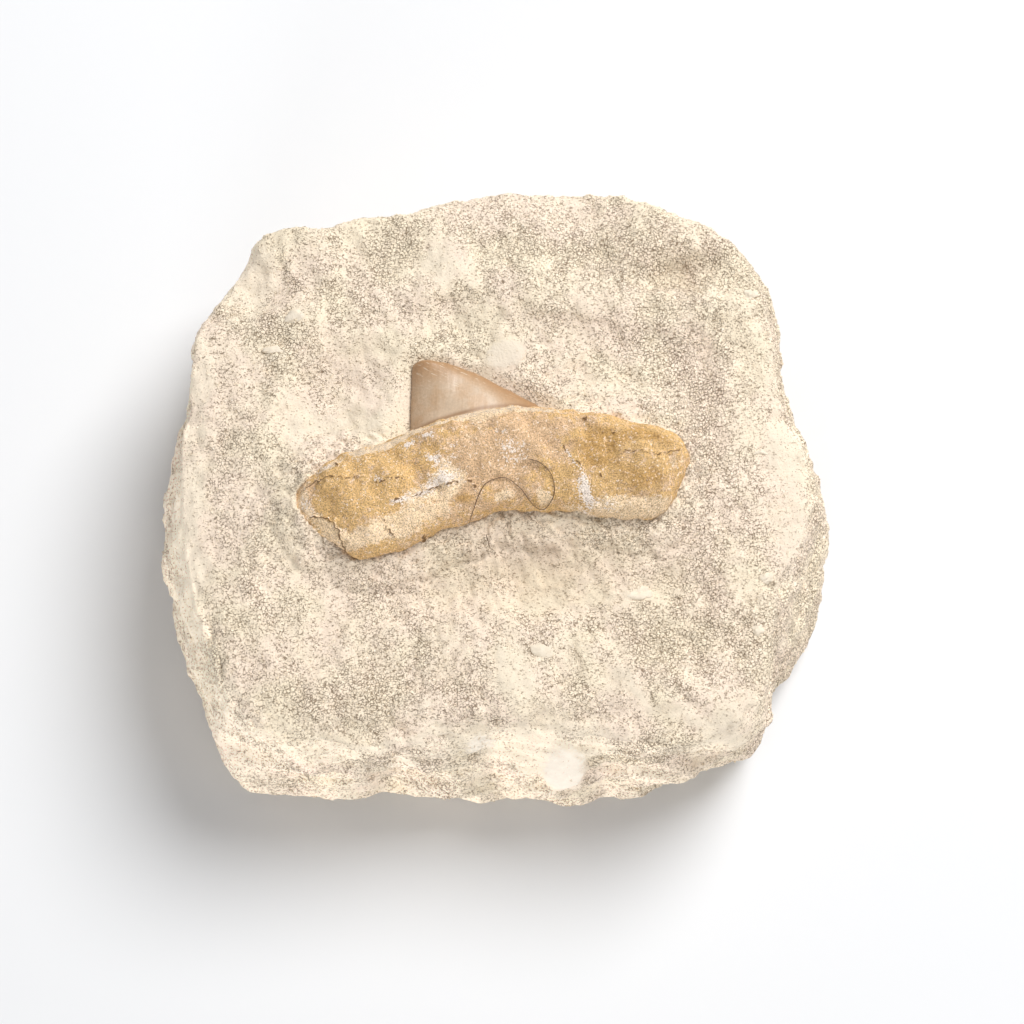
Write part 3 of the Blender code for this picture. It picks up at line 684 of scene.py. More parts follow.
def settleTooth(points, ring):
    # The rock banks up to the tooth's sides, stays off its upper face and sinks into a bed under it.
    # Gives the distances from the root and the crown, and a painted shade along them where they meet the
    # rock.
    x, y = points[..., 0], points[..., 1]
    wanted = (ring < 0.42) & (np.abs(x) < 36) & (y > -18) & (y < 25)
    toRoot, toCrown = np.full(x.shape, 99.0), np.full(x.shape, 99.0)
    toRoot[wanted] = outlineDistance(x[wanted], y[wanted], rootOutline)
    toCrown[wanted] = outlineDistance(x[wanted], y[wanted], crownOutline)
    lap = 0.30 * ripple(points, 2.4, seed=38) + 0.20 * ripple(points, 1.1, seed=39)
    lap += 1.5 * ramp(-x, 24, 29)
    z = points[..., 2]
    bank = root["midHeight"] + 1.2 + lap - 0.38 * np.maximum(toRoot, 0) - 4 * ramp(toRoot, 3.5, 8.5)
    z = np.where(toRoot > -0.8, np.maximum(z, bank), z)
    besideRoot = root["midHeight"] + 1.25 + lap + 0.5 * np.maximum(toRoot, 0)
    z = np.where(toRoot < 3, np.minimum(z, besideRoot), z)
    besideCrown = crown["midHeight"][0] - 0.45 + 0.45 * np.maximum(toCrown, 0)
    z = np.where(toCrown < 4, np.minimum(z, besideCrown), z)
    z += (np.minimum(z, rootUnderside(x, y) - 0.25) - z) * ramp(-toRoot, 0.5, 1.4)
    z += (np.minimum(z, rock["crownBed"]) - z) * ramp(-toCrown, 0.8, 2.6)
    points[..., 2] = z
    # Painted shade where the rock meets the root's front and right end, and, fainter, round the crown.
    shaded = np.clip(ramp(-(y - 2.0), -2.0, 3.0) + ramp(x, 24, 28), 0, 1)
    paintedShade = np.exp(-((toRoot - 0.15) / 0.42) ** 2) * shaded + 0.5 * np.exp(-((toCrown - 0.1) / 0.3) ** 2)
    return toRoot, toCrown, paintedShade


def makeRockGrid():
    # The block's surface pushed out along its normals by its relief, with the values that colour it, painted
    # light and shade among them.
    rows = np.interp((np.arange(rock["rows"]) + 0.6) / rock["rows"], rock["rowShares"], rock["rowRings"])
    angles = np.linspace(-math.pi, math.pi, rock["columns"], endpoint=False)
    ring, angles = np.meshgrid(rows, angles, indexing="ij")
    points = blockSurface(ring, angles)
    normals = gridNormals(points)
    offTop, underneath = ramp(ring, 0.44, 0.50), ramp(ring, 0.82, 0.86)
    # toRight, toShade and away mark the faces that turn towards or away from the key lamp; they paint light
    # and shade into the colour.
    toRight = ramp(normals[..., 0], 0.3, 0.8) * offTop
    toShade = ramp(-normals[..., 1] - normals[..., 0], 0.2, 0.8) * offTop
    away = ramp(-normals[..., 0] - 0.5 * normals[..., 1], 0.12, 0.75)

    zone = {name: zones(points, rock[name], floorZ=rock["topFloor"])
            for name in ("coarse", "smooth", "pale", "brown")}
    coarse = 0.47 + 0.10 * ripple(points, 11.0, seed=41) + 0.09 * ripple(points, 4.5, seed=42)
    # Coarser, and so darker, on the side that faces the key lamp: painted shade.
    coarse += 0.40 * zone["coarse"] + 0.32 * toRight
    coarse = np.clip(coarse * (1 - 0.9 * np.clip(zone["smooth"], 0, 1)), 0, 1)
    pale = zone["pale"] + 0.22 * ripple(points, 9.0, seed=43) - 0.15 * coarse
    # The sides paler, more so where they turn from the key lamp and less where they face it: painted light.
    pale += 0.15 * offTop + 0.30 * toShade - 0.2 * toRight

    fromNodule, fromSmear, fromClast, domes = noduleAndClast(points, ring)
    fromBoth = np.minimum(fromNodule, fromClast)
    coarse *= ramp(fromBoth, 1.0, 1.25)
    rough = rockRelief(points, ring, coarse) * ramp(fromBoth, 0.9, 1.2)
    points += normals * ((rough + domes) * (1 - underneath))[..., None]
    toRoot, toCrown, contact = settleTooth(points, ring)
    points[..., 2] = np.where(ring > rock["soleRing"], 0.0, np.maximum(points[..., 2], 0.0))
    nodule = np.maximum(1.5 - np.minimum(fromNodule, 1.5), 1.12 - np.minimum(fromSmear, 1.5))
    return {"points": points, "normals": normals, "coarse": coarse, "pale": np.clip(pale, 0, 1),
            "brown": np.clip(zone["brown"], 0, 1), "contact": contact, "side": offTop * (1 - underneath),
            "nearTooth": np.minimum(toRoot, toCrown), "away": away, "nodule": nodule,
            "clast": 1.5 - np.minimum(fromClast, 1.5)}


rockColours = {
    "sand": (0.816, 0.712, 0.552),
    "rose": (0.838, 0.702, 0.576),
    "cream": (0.822, 0.724, 0.582),
    "brown": (0.560, 0.440, 0.310),
    # The next colour is painted shade for gaps, pits and the tooth's edge, and the colour of dark grains.
    "shadeAndDarkGrain": (0.170, 0.098, 0.044),
    "chalk": (1.0, 0.905, 0.780),
    "clast": (0.790, 0.698, 0.578),
}


def rockMaterial():
    # Sand and rose in patches, with cream and brown by the masks, times a tone that grain and beds vary and
    # that paints light onto the sides; painted shade in the gaps between grains and along the tooth, with
    # dark dots, partly painted shade, where it is coarse; clast and nodule on top.
    recipe = Recipe("sandyRock")
    place = recipe.millimetres()
    coarse, pale, side = recipe.value("coarse"), recipe.value("pale"), recipe.value("side")
    brown, contact, away = recipe.value("brown"), recipe.value("contact"), recipe.value("away")
    patches = recipe.noise(place, 0.11, 3.0, 0.6)
    blotches = recipe.noise(place, 0.75, 3.0, 0.7)
    crumbs = recipe.noise(place, 2.3, 2.0, 0.65)
    stipple = recipe.smooth(recipe.noise(place, 5.2, 1.0, 0.7), 0.36, 0.64)
    streaks = recipe.noise(recipe.stretched(place, (0.10, 0.10, 1.5)), 1.0, 3.0, 0.65)
    drifted = recipe.warped(place, 1.8, 0.22)
    seams, fineSeams = recipe.seams(drifted, 1.95), recipe.seams(drifted, 3.3)
    grainTone = recipe.cellTone(drifted, 1.95)
    pepperTone = recipe.cellTone(recipe.stretched(place, (0.70, 1.25, 1.0)), 5.0)

    clods = recipe.smooth(recipe.noise(place, 0.26, 4.0, 0.62), 0.54, 0.72)
    loose = recipe.smooth(blotches * 0.5 + crumbs * 0.7 + coarse * 0.38 - clods * 0.15, 0.72, 0.92)
    # The gaps between grains, finer gaps and dark dots, filled below with painted shade; the dots are partly
    # dark grains.
    gaps = (1 - recipe.smooth(seams, 0.02, 0.105)) * loose
    fineLoose = recipe.smooth(crumbs + coarse * 0.26 - clods * 0.12, 0.60, 0.76)
    fineGaps = (1 - recipe.smooth(fineSeams, 0.02, 0.12)) * fineLoose
    pepper = recipe.smooth(pepperTone + coarse * 0.23 + (crumbs - 0.5) * 0.45 - clods * 0.08, 0.95, 1.01)

    paleShare = recipe.smooth(pale + (blotches - 0.5) * 0.9 + clods * 0.35, 0.15, 0.85)
    colour = recipe.blend(recipe.smooth(patches, 0.35, 0.65), rockColours["sand"], rockColours["rose"])
    colour = recipe.blend(paleShare * 0.7, colour, rockColours["cream"])
    stained = brown * recipe.smooth(blotches, 0.2, 0.7, 0.5, 1.0)
    colour = recipe.blend(stained * 0.6, colour, rockColours["brown"])
    tone = 0.964 + coarse * 0.195 + (grainTone - 0.5) * 0.14 * coarse
    tone += (stipple - 0.5) * (-0.05 - coarse * 0.30) + (crumbs - 0.5) * (coarse * 0.20 + 0.06)
    # Painted light: the sides lighter, and lighter still on faces turned from the key lamp; the streaks are
    # real beds.
    tone += (streaks - 0.5) * side * 0.40 + side * 0.12 + away * 0.35
    colour = recipe.toned(colour, tone)
    # Painted shade in the gaps and pits between grains, and dark dots, partly painted shade and partly dark
    # grains.
    gapShadeAndDots = recipe.most(gaps * 0.80, recipe.most(fineGaps * 0.40, pepper * (0.55 + coarse * 0.13)))
    # Painted shade along the tooth, broken up by crumbs.
    paintedShade = contact * recipe.smooth(crumbs, 0.44, 0.54)
    colour = recipe.blend(recipe.most(gapShadeAndDots, paintedShade * 0.5), colour, rockColours["shadeAndDarkGrain"])
    edge = (crumbs - 0.5) * 0.7 + (blotches - 0.5) * 0.9
    onClast = recipe.smooth(recipe.value("clast") + edge, 0.40, 0.70)
    colour = recipe.blend(onClast * 0.8, colour, rockColours["clast"])
    onNodule = recipe.smooth(recipe.value("nodule") + edge, 0.30, 0.80)
    # The nodule's own chalk white, toned a little past white to make up for the shade on the front face:
    # partly painted light.
    chalky = recipe.toned(rockColours["chalk"], 1.06 + (blotches - 0.5) * 0.2)
    colour = recipe.blend(onNodule, colour, chalky)

    height = crumbs * 0.13 + blotches * 0.15 - gaps * 0.12
    return recipe.finish(colour, 0.92, recipe.bump(height, 1.0), Specular_IOR_Level=0.25)


rockMasks = ("coarse", "pale", "brown", "contact", "side", "away", "nodule", "clast")
grid = makeRockGrid()
rockRings = grid["points"]
addSurface("rockSurface", rockRings, rockMaterial(),
           {name: grid[name] for name in rockMasks}, "matrix_block")


# Sand grains that stand out of the rock, as small closed meshes.
grains = {
    # name: how many, smallest and largest half size (mm), how much the side keeps, tint range
    "pieces": {
        "coarseGrains": (22000, 0.13, 0.27, 0.8, (0.20, 1.0)),
        "fineGrains": (24000, 0.09, 0.17, 0.6, (0.1, 1.0)),
        "mixedGrains": (12000, 0.08, 0.20, 0.8, (0.0, 0.70)),
    },
    # tint, and the grain's colour there
    "minerals": [
        (0.0, (0.26, 0.20, 0.135)), (0.05, (0.50, 0.40, 0.285)), (0.11, (0.74, 0.64, 0.50)),
        (0.6, (0.820, 0.720, 0.575)), (0.9, (0.865, 0.770, 0.630)), (1.0, (0.91, 0.83, 0.71))],
    "sunk": 0.25,  # how far a grain's middle lies below the surface, in half sizes
    "lowest": 1.2,  # none below this height, mm
    "offTooth": 0.1,  # none nearer the tooth's outline than this, mm
}


def randomTurns(rng, count):
    # Rotation matrices from random unit quaternions.
    four = rng.normal(size=(count, 4))
    w, x, y, z = (four / np.linalg.norm(four, axis=-1, keepdims=True)).T
    return np.stack([
        np.stack([1 - 2 * (y * y + z * z), 2 * (x * y - z * w), 2 * (x * z + y * w)], axis=-1),
        np.stack([2 * (x * y + z * w), 1 - 2 * (x * x + z * z), 2 * (y * z - x * w)], axis=-1),
        np.stack([2 * (x * z - y * w), 2 * (y * z + x * w), 1 - 2 * (x * x + y * y)], axis=-1)], axis=-2)


def addGrains(name, numbers, seed, material):
    # Octahedra with uneven arms, turned at random, set where a random pick weighted by cell area and
    # coarseness falls, a little sunk along the surface's normal.
    rng = np.random.default_rng(seed)
    count, smallest, largest, sideShare, tints = numbers
    here, below = rockRings[:-1], rockRings[1:]
    beside = np.roll(here, -1, axis=1)
    area = np.linalg.norm(np.cross(beside - here, below - here), axis=-1)
    keep = np.where(grid["side"][:-1] > 0.5, sideShare, 1.0) * (here[..., 2] > grains["lowest"])
    keep = keep * (grid["nearTooth"][:-1] > grains["offTooth"])
    weight = (area * keep * (0.05 + grid["coarse"][:-1] ** 1.2)).ravel()
    picked = rng.choice(weight.size, count, p=weight / weight.sum())

    def pick(values):
        # The picked cells' rows of a grid.
        return values.reshape(-1, values.shape[-1])[picked]

    across, down = rng.random((2, count, 1))
    middle = pick(here) + across * (pick(beside) - pick(here)) + down * (pick(below) - pick(here))
    half = smallest + (largest - smallest) * rng.random(count) ** 1.6
    middle = middle - pick(grid["normals"][:-1]) * (half * grains["sunk"])[:, None]
    arms = rng.uniform(0.65, 1.25, (count, 6, 1)) * half[:, None, None]
    unit = np.array([(1, 0, 0), (-1, 0, 0), (0, 1, 0), (0, -1, 0), (0, 0, 1), (0, 0, -1)], float)
    corners = np.einsum("nij,nkj->nki", randomTurns(rng, count), unit * arms)
    vertices = (middle[:, None, :] + corners).reshape(-1, 3)
    sides = np.array([(0, 2, 4), (2, 1, 4), (1, 3, 4), (3, 0, 4), (2, 0, 5), (1, 2, 5), (3, 1, 5), (0, 3, 5)])
    faces = (np.arange(count)[:, None, None] * 6 + sides).reshape(-1, 3).tolist()
    values = {"tint": np.repeat(rng.uniform(*tints, count), 6)}
    for title in ("pale", "brown"):
        values[title] = np.repeat(grid[title][:-1].ravel()[picked], 6)
    addPiece(name, vertices, faces, material, values, smooth=False)


def grainMaterial():
    # Each grain's own tint picks its mineral's colour, which the rock's masks then shift.
    recipe = Recipe("sandGrain")
    place = recipe.millimetres()
    tint, pale, brown = recipe.value("tint"), recipe.value("pale"), recipe.value("brown")
    mineral = recipe.add("ShaderNodeValToRGB", {"stops": grains["minerals"]}, {"Fac": tint})
    speckle = recipe.noise(place, 5.0, 2.0, 0.6)
    # The pale mask carries the painted light of the rock's sides onto the grains too.
    colour = recipe.blend(pale * 0.45, mineral, rockColours["cream"])
    colour = recipe.blend(brown * 0.35, colour, rockColours["brown"])
    colour = recipe.toned(colour, 0.84 + speckle * 0.32)
    return recipe.finish(colour, 0.85, recipe.bump(speckle, 0.05), Specular_IOR_Level=0.3)


sandGrain = grainMaterial()
for order, (name, numbers) in enumerate(grains["pieces"].items()):
    addGrains(name, numbers, 70 + order, sandGrain)


clasts = {
    # x, y, half sizes along, across and high, turn, how far it stands out
    "onTop": [
        (-30.7, 26.3, 1.8, 1.1, 0.7, 5, 0.32), (40, 29.6, 1.3, 1.2, 0.8, 0, 0.4),
        (22.3, -17.2, 2.0, 1.2, 0.8, 5, 0.32), (41.7, -14.8, 1.0, 0.9, 0.6, 0, 0.35),
        (40, -22.7, 1.2, 1.0, 0.7, 30, 0.35), (-33.6, 20.8, 1.8, 0.6, 0.5, 5, 0.26),
        (41.2, 4.8, 1.0, 0.5, 0.5, -10, 0.3), (7.5, -26.3, 1.7, 1.3, 0.5, 10, 0.28)],
    "dull": (0.790, 0.690, 0.550),
    "white": (0.930, 0.850, 0.740),
    "whiteness": 0.28,
}


def nearestRow(x, y):
    # The rock's point and normal nearest a place on the top.
    points = rockRings.reshape(-1, 3)
    away = (points[:, 0] - x) ** 2 + (points[:, 1] - y) ** 2 + 1e3 * (points[:, 2] < 25)
    at = int(np.argmin(away))
    return points[at], grid["normals"].reshape(-1, 3)[at]


def pebble(middle, axes, halves, seed):
    # An ellipsoid on three axes whose radius a ripple varies.
    rows, columns = 26, 44
    lat, lon = np.meshgrid(math.pi * (np.arange(rows) + 1) / (rows + 1),
                           np.linspace(0, 2 * math.pi, columns, endpoint=False), indexing="ij")
    unit = np.stack([np.sin(lat) * np.cos(lon), np.sin(lat) * np.sin(lon), np.cos(lat)], axis=-1)
    unit = np.concatenate([unit.reshape(-1, 3), [[0, 0, 1], [0, 0, -1]]])
    size = 1 + 0.18 * ripple(unit, 1.7, seed=seed) + 0.09 * ripple(unit, 0.7, seed=seed + 1)
    local = unit * size[:, None] * np.array(halves)
    return middle + local @ np.array(axes), (rows, columns)


def clastMaterial():
    # Cloudy between dull and white, with brown pits.
    recipe = Recipe("paleClast")
    place = recipe.millimetres()
    cloud = recipe.noise(place, 0.8, 4.0, 0.6)
    pits = recipe.noise(place, 3.5, 3.0, 0.6)
    whiteness = recipe.smooth(clasts["whiteness"] + (cloud - 0.5) * 0.8, 0.0, 1.0)
    colour = recipe.blend(whiteness, clasts["dull"], clasts["white"])
    colour = recipe.blend(recipe.smooth(pits, 0.58, 0.70) * 0.45, colour, rockColours["brown"])
    return recipe.finish(colour, 0.8, recipe.bump(cloud * 0.5 + pits * 0.25, 0.3), Specular_IOR_Level=0.3)


def addClasts():
    # Each lies along the surface with its height along the normal, and all are one mesh.
    vertices, faces, used = [], [], 0
    for order, (x, y, along, across, high, turn, proud) in enumerate(clasts["onTop"]):
        middle, normal = nearestRow(x, y)
        heading = math.radians(turn)
        side = np.cross(normal, (math.cos(heading), math.sin(heading), 0.0))
        side /= np.linalg.norm(side)
        axes = [np.cross(side, normal), side, normal]
        middle = middle + normal * (proud - high)
        points, shape = pebble(middle, axes, (along, across, high), seed=90 + 2 * order)
        faces += [[used + corner for corner in face] for face in closedGrid(np.zeros((*shape, 3)))]
        vertices.append(points)
        used += len(points)
    addPiece("paleClasts", np.concatenate(vertices), faces, clastMaterial(), {})


addClasts()


def makeRootGrid():
    # Sections across X: a superellipse between the front and back lines, full in the middle and closing
    # at the ends, with lumps, ripples, pits and cracks.
    start, end = root["ends"]
    polar = math.pi * (np.arange(root["rows"]) + 1) / (root["rows"] + 1)
    buried = np.linspace(-math.pi, 0, root["buriedColumns"], endpoint=False)
    shown = np.linspace(0, math.pi, root["columns"] - root["buriedColumns"], endpoint=False)
    polar, turn = np.meshgrid(polar, np.concatenate([buried, shown]), indexing="ij")
    along = -np.cos(polar)
    x = start + (end - start) * (along + 1) / 2
    back, front = easedLine(root["back"], x), easedLine(root["front"], x)
    power = 2 / root["squareness"]
    across = np.sign(np.cos(turn)) * np.abs(np.cos(turn)) ** power
    up = np.sign(np.sin(turn)) * np.abs(np.sin(turn)) ** power
    fullness = np.sqrt(np.clip(1 - along**8, 0, 1))
    y = (back + front) / 2 + across * (back - front) / 2
    lobes = 1 - 0.16 * np.clip(np.abs(x) / 30, 0, 1) ** 2
    z = root["midHeight"] + np.where(up > 0, root["rise"] * lobes, root["depth"]) * up * fullness
    for lumpX, lumpY, reachX, reachY, height in root["lumps"]:
        z += mound(x, y, lumpX, lumpY, reachX, reachY, 0, height) * np.clip(up, 0, 1) * fullness
    points = np.stack([x, y, z], axis=-1)
    rough = 0.35 * ripple(points, 9.0, seed=21) + 0.16 * ripple(points, 4.0, seed=22)
    points[..., 2] += rough * fullness * np.clip(up, -0.3, 1)

    normals = gridNormals(points)
    upper = ramp(up, -0.1, 0.15)
    wander = points[..., :2] + 0.16 * np.stack([ripple(points, 0.9, seed=s) for s in (51, 52)], axis=-1)
    wx, wy = wander[..., 0], wander[..., 1]
    crack = np.zeros_like(x)
    relief = 0.13 * ripple(points, 2.6, seed=23) + 0.07 * ripple(points, 1.2, seed=24)
    nearest, second = cellular(points, 1.5, 28)
    relief += 0.10 * (np.minimum(second - nearest, 0.5) - 0.3)
    for halfWidth, depth, line in root["cracks"]:
        shape = np.exp(-((lineDistance(wx, wy, line) / halfWidth) ** 2)) * upper
        relief -= depth * shape
        crack = np.maximum(crack, shape)
    for pitX, pitY, radius, depth in root["pits"]:
        shape = np.exp(-(((wx - pitX) ** 2 + (wy - pitY) ** 2) / radius**2)) * upper
        relief -= depth * shape
        crack = np.maximum(crack, shape)
    nearest, second = cellular(points, 1.35, 25)
    pores = ramp(0.26 - nearest, 0.0, 0.12) * (fixedRandom(np.floor(points / 3.1), 6, 0) > 0.35)
    relief -= 0.10 * pores
    plates = ramp(0.10 - (second - nearest), 0.0, 0.08) * ramp(ripple(points, 5.0, seed=26), 0.2, 0.9)
    relief -= 0.06 * plates
    toBack = (y - back) + 0.25 * ripple(points, 3.0, seed=27)
    wide = 0.55 + 0.5 * np.exp(-((x + 17.5) / 4.5) ** 2)
    lip = np.exp(-((toBack + 0.55 + 0.4 * wide) / wide) ** 2)
    lip *= ramp(x, -25.0, -20.0) * (1 - ramp(x, 8.0, 13.0)) * ramp(up, 0.0, 0.3)
    relief += 0.15 * lip
    points += normals * (relief * fullness)[..., None]
    masks = {name: np.clip(zones(points, root[name], drift=0.3), 0, 1.3) * upper
             for name in ("white", "rosy", "amber", "fair")}
    # Painted light and shade: lighter on faces turned from the key lamp, darker towards the right end, which
    # it lights most.
    away = ramp(-0.9 * normals[..., 0] - 0.5 * normals[..., 1], 0.1, 0.8) - 0.6 * ramp(x, 2, 22)
    return points, {"crack": crack, "pore": pores, "lip": lip, "away": away, **masks}


rootColours = {
    "ochre": (0.628, 0.406, 0.176),
    "mottle": (0.770, 0.575, 0.400),
    "amber": (0.510, 0.300, 0.100),
    "sandy": (0.815, 0.630, 0.420),
    "rose": (0.600, 0.404, 0.238),
    "white": (0.870, 0.775, 0.700),
    "lip": (0.820, 0.700, 0.575),
    "stain": (0.160, 0.085, 0.035),
}


def rootMaterial():
    # Ochre under a rose film, amber and pale where the masks say, mottled and times a tone that also paints
    # light onto faces turned from the lamp and shade onto the right end; then chalk, dust, the sandy crust of
    # the back edge, and dark stains in cracks and pores.
    recipe = Recipe("ochreRoot")
    place = recipe.millimetres()
    white, rosy = recipe.value("white"), recipe.value("rosy")
    amber, fair = recipe.value("amber"), recipe.value("fair")
    crack, pore, lip, away = (recipe.value(name) for name in ("crack", "pore", "lip", "away"))
    patches = recipe.noise(place, 0.30, 4.0, 0.65)
    fibres = recipe.noise(recipe.stretched(place, (2.6, 0.45, 1.0)), 1.0, 3.0, 0.65)
    blotches = recipe.noise(place, 1.0, 5.0, 0.75)
    crumbs = recipe.noise(place, 2.6, 3.0, 0.7)
    stipple = recipe.smooth(recipe.noise(place, 5.6, 1.0, 0.7), 0.36, 0.64)

    film = recipe.smooth(rosy * 0.42 + patches - 0.07 + (blotches - 0.5) * 0.9, 0.48, 0.66)
    colour = recipe.blend(film, rootColours["ochre"], rootColours["rose"])
    ambered = recipe.smooth(amber + (blotches - 0.5) * 1.3 + (crumbs - 0.5) * 0.5, 0.42, 0.74)
    colour = recipe.blend(ambered * 0.85, colour, rootColours["amber"])
    faired = recipe.smooth(fair + (patches - 0.5) * 1.2 + (crumbs - 0.5) * 0.8, 0.34, 0.66)
    colour = recipe.blend(faired * 0.85, colour, rootColours["sandy"])
    mottled = recipe.smooth(blotches + (crumbs - 0.5) * 0.35, 0.51, 0.66)
    colour = recipe.blend(mottled * 0.42, colour, rootColours["mottle"])
    tone = 1.085 + (stipple - 0.5) * 0.18 + (crumbs - 0.5) * 0.22 + (blotches - 0.5) * 0.32
    # away paints light onto faces turned from the lamp and shade onto the right end.
    tone += (fibres - 0.5) * 0.30 + away * 0.24
    colour = recipe.toned(colour, tone)
    chalk = white * 1.1 + (blotches - 0.5) * 1.3 + (crumbs - 0.5) * 3.6 + (stipple - 0.5) * 0.3
    chalk = recipe.smooth(chalk, 0.50, 0.66)
    colour = recipe.blend(chalk * 0.92, colour, rootColours["white"])
    dust = recipe.smooth(crumbs, 0.59, 0.70) * recipe.smooth(patches, 0.38, 0.60, 0.25, 0.80)
    colour = recipe.blend(dust * 0.75, colour, rootColours["white"])
    sandy = recipe.smooth(lip + (blotches - 0.5) * 1.3 + (crumbs - 0.5) * 2.6, 0.40, 0.62)
    crust = recipe.blend(stipple, rootColours["lip"], rootColours["sandy"])
    colour = recipe.blend(sandy * 0.9, colour, crust)
    colour = recipe.toned(colour, 1.0 + (stipple - 0.5) * 0.28 + (crumbs - 0.5) * 0.26)
    flecks = recipe.smooth(recipe.noise(place, 3.0, 2.0, 0.6), 0.60, 0.68)
    specks = recipe.most(recipe.smooth(1 - stipple, 0.92, 1.0) * 0.45, flecks * 0.5)
    stain = recipe.most(recipe.smooth(crack + (crumbs - 0.5) * 0.7, 0.38, 0.62) * 0.92, specks)
    colour = recipe.blend(recipe.most(stain, pore * 0.35), colour, rootColours["stain"])

    height = stipple * 0.03 + crumbs * 0.14 + blotches * 0.12
    rough = 0.66 + chalk * 0.2 + (stipple - 0.5) * 0.1
    return recipe.finish(colour, rough, recipe.bump(height, 1.0), Specular_IOR_Level=0.3)


rootRings, rootMasks = makeRootGrid()
addSurface("toothRoot", rootRings, rootMaterial(), rootMasks, "tooth")


def makeCrownGrid():
    # Lens sections between the cutting edges: the bulge falls off with the sine of the turn, to a power.
    polar = math.pi * (np.arange(crown["rows"]) + 1) / (crown["rows"] + 1)
    turn = np.linspace(-math.pi, math.pi, crown["columns"], endpoint=False)
    polar, turn = np.meshgrid(polar, turn, indexing="ij")
    share = polar / math.pi
    plan, width = crownPlan(share, np.cos(turn))
    above = np.sin(turn) > 0
    middle, bulge, back = (np.interp(share, [0, 1], crown[name]) for name in ("midHeight", "bulge", "back"))
    z = middle + np.where(above, bulge, -back) * np.abs(np.sin(turn)) ** 1.3 * width
    points = np.concatenate([plan, z[..., None]], axis=-1)
    normals = gridNormals(points)
    streaks = ripple(points * (1.0, 0.12, 0.5), 0.9, seed=81)
    relief = 0.006 * streaks + 0.05 * ripple(points, 5.0, seed=82)
    # Painted shadow on the crown just behind the root's back edge, where it passes under the root's lip.
    seam = np.exp(-((points[..., 1] - easedLine(root["back"], points[..., 0]) - 0.15) / 0.35) ** 2) * above
    notches = np.exp(-((1 - np.abs(np.cos(turn))) / 0.004)) * ripple(points, 0.8, seed=83)
    relief += 0.05 * notches
    points += normals * (relief * ramp(share, 0.02, 0.10))[..., None]
    masks = {"reach": np.cos(turn), "share": share, "streak": streaks, "seam": seam}
    return points, masks


crownColours = {
    "body": (0.540, 0.366, 0.226),
    "light": (0.590, 0.450, 0.320),
    "brown": (0.430, 0.275, 0.155),
    "russet": (0.415, 0.232, 0.110),
    # the edge colour serves the painted shade along the cutting edges and under the root's lip, and dark
    # nicks and dots
    "edge": (0.300, 0.170, 0.085),
    "scratch": (0.820, 0.700, 0.540),
}


def crownMaterial():
    # Brown enamel that darkens towards the tip and towards both edges, there partly as painted shade where it
    # turns away, with fine fibres, pale scratches, dark nicks and a painted shadow under the root's lip,
    # under a thin coat.
    recipe = Recipe("enamelCrown")
    place = recipe.millimetres()
    reach, share, streak = recipe.value("reach"), recipe.value("share"), recipe.value("streak")
    cloud = recipe.noise(place, 0.35, 3.0, 0.5)
    grainy = recipe.noise(place, 2.8, 3.0, 0.7)
    fibres = recipe.noise(recipe.stretched(place, (3.2, 0.5, 1.0)), 1.0, 3.0, 0.6)
    # The bands along both cutting edges are partly the enamel's own brown and partly painted shade where the
    # crown turns away.
    leftBand = 1 - recipe.smooth(reach + (cloud - 0.5) * 0.25, -0.92, -0.42)
    rightBand = recipe.smooth(reach + (cloud - 0.5) * 0.2, 0.38, 0.95)
    tipBand = recipe.smooth(share + (cloud - 0.5) * 0.2, 0.58, 0.95)
    colour = recipe.blend(recipe.smooth(cloud, 0.35, 0.62), crownColours["body"], crownColours["light"])
    colour = recipe.blend(leftBand * 0.27, colour, crownColours["brown"])
    colour = recipe.blend(rightBand * 0.96, colour, crownColours["russet"])
    colour = recipe.blend(tipBand * 0.95, colour, crownColours["russet"])
    # Painted shade: a dark line right along the cutting edges, where the crown turns down.
    rims = recipe.smooth(reach * reach, 0.90, 0.995)
    dots = recipe.smooth(recipe.noise(place, 5.5, 1.0, 0.7), 0.54, 0.64) * recipe.most(leftBand, tipBand)
    colour = recipe.blend(recipe.most(rims * 0.5, dots * 0.30), colour, crownColours["edge"])
    colour = recipe.toned(colour, 1.0 + (grainy - 0.5) * 0.40 + (fibres - 0.5) * 0.22 + streak * 0.012)
    turned = recipe.add("ShaderNodeVectorRotate", {"rotation_type": "Z_AXIS"},
                        {"Vector": place, "Angle": crown["scratchTurn"]})
    marks = recipe.noise(recipe.stretched(turned, (0.5, 5.0, 1.0)), 1.0, 2.0)
    scratches = recipe.smooth(marks, 0.63, 0.69) * recipe.smooth(share + reach * 0.15, 0.45, 0.75)
    colour = recipe.blend(scratches * 0.55, colour, crownColours["scratch"])
    nicks = recipe.smooth(1 - marks, 0.66, 0.72) * recipe.smooth(reach, 0.2, 0.7)
    # Dark nicks, and the painted shadow under the root's lip.
    colour = recipe.blend(recipe.most(nicks * 0.5, recipe.value("seam") * 0.8), colour, crownColours["edge"])
    rough = 0.38 + (fibres - 0.5) * 0.2 + scratches * 0.2
    height = fibres * 0.05 + (grainy - 0.5) * 0.02
    return recipe.finish(colour, rough, recipe.bump(height, 0.6), Coat_Weight=0.22, Coat_Roughness=0.34)


crownRings, crownMasks = makeCrownGrid()
addSurface("toothCrown", crownRings, crownMaterial(), crownMasks, "tooth")


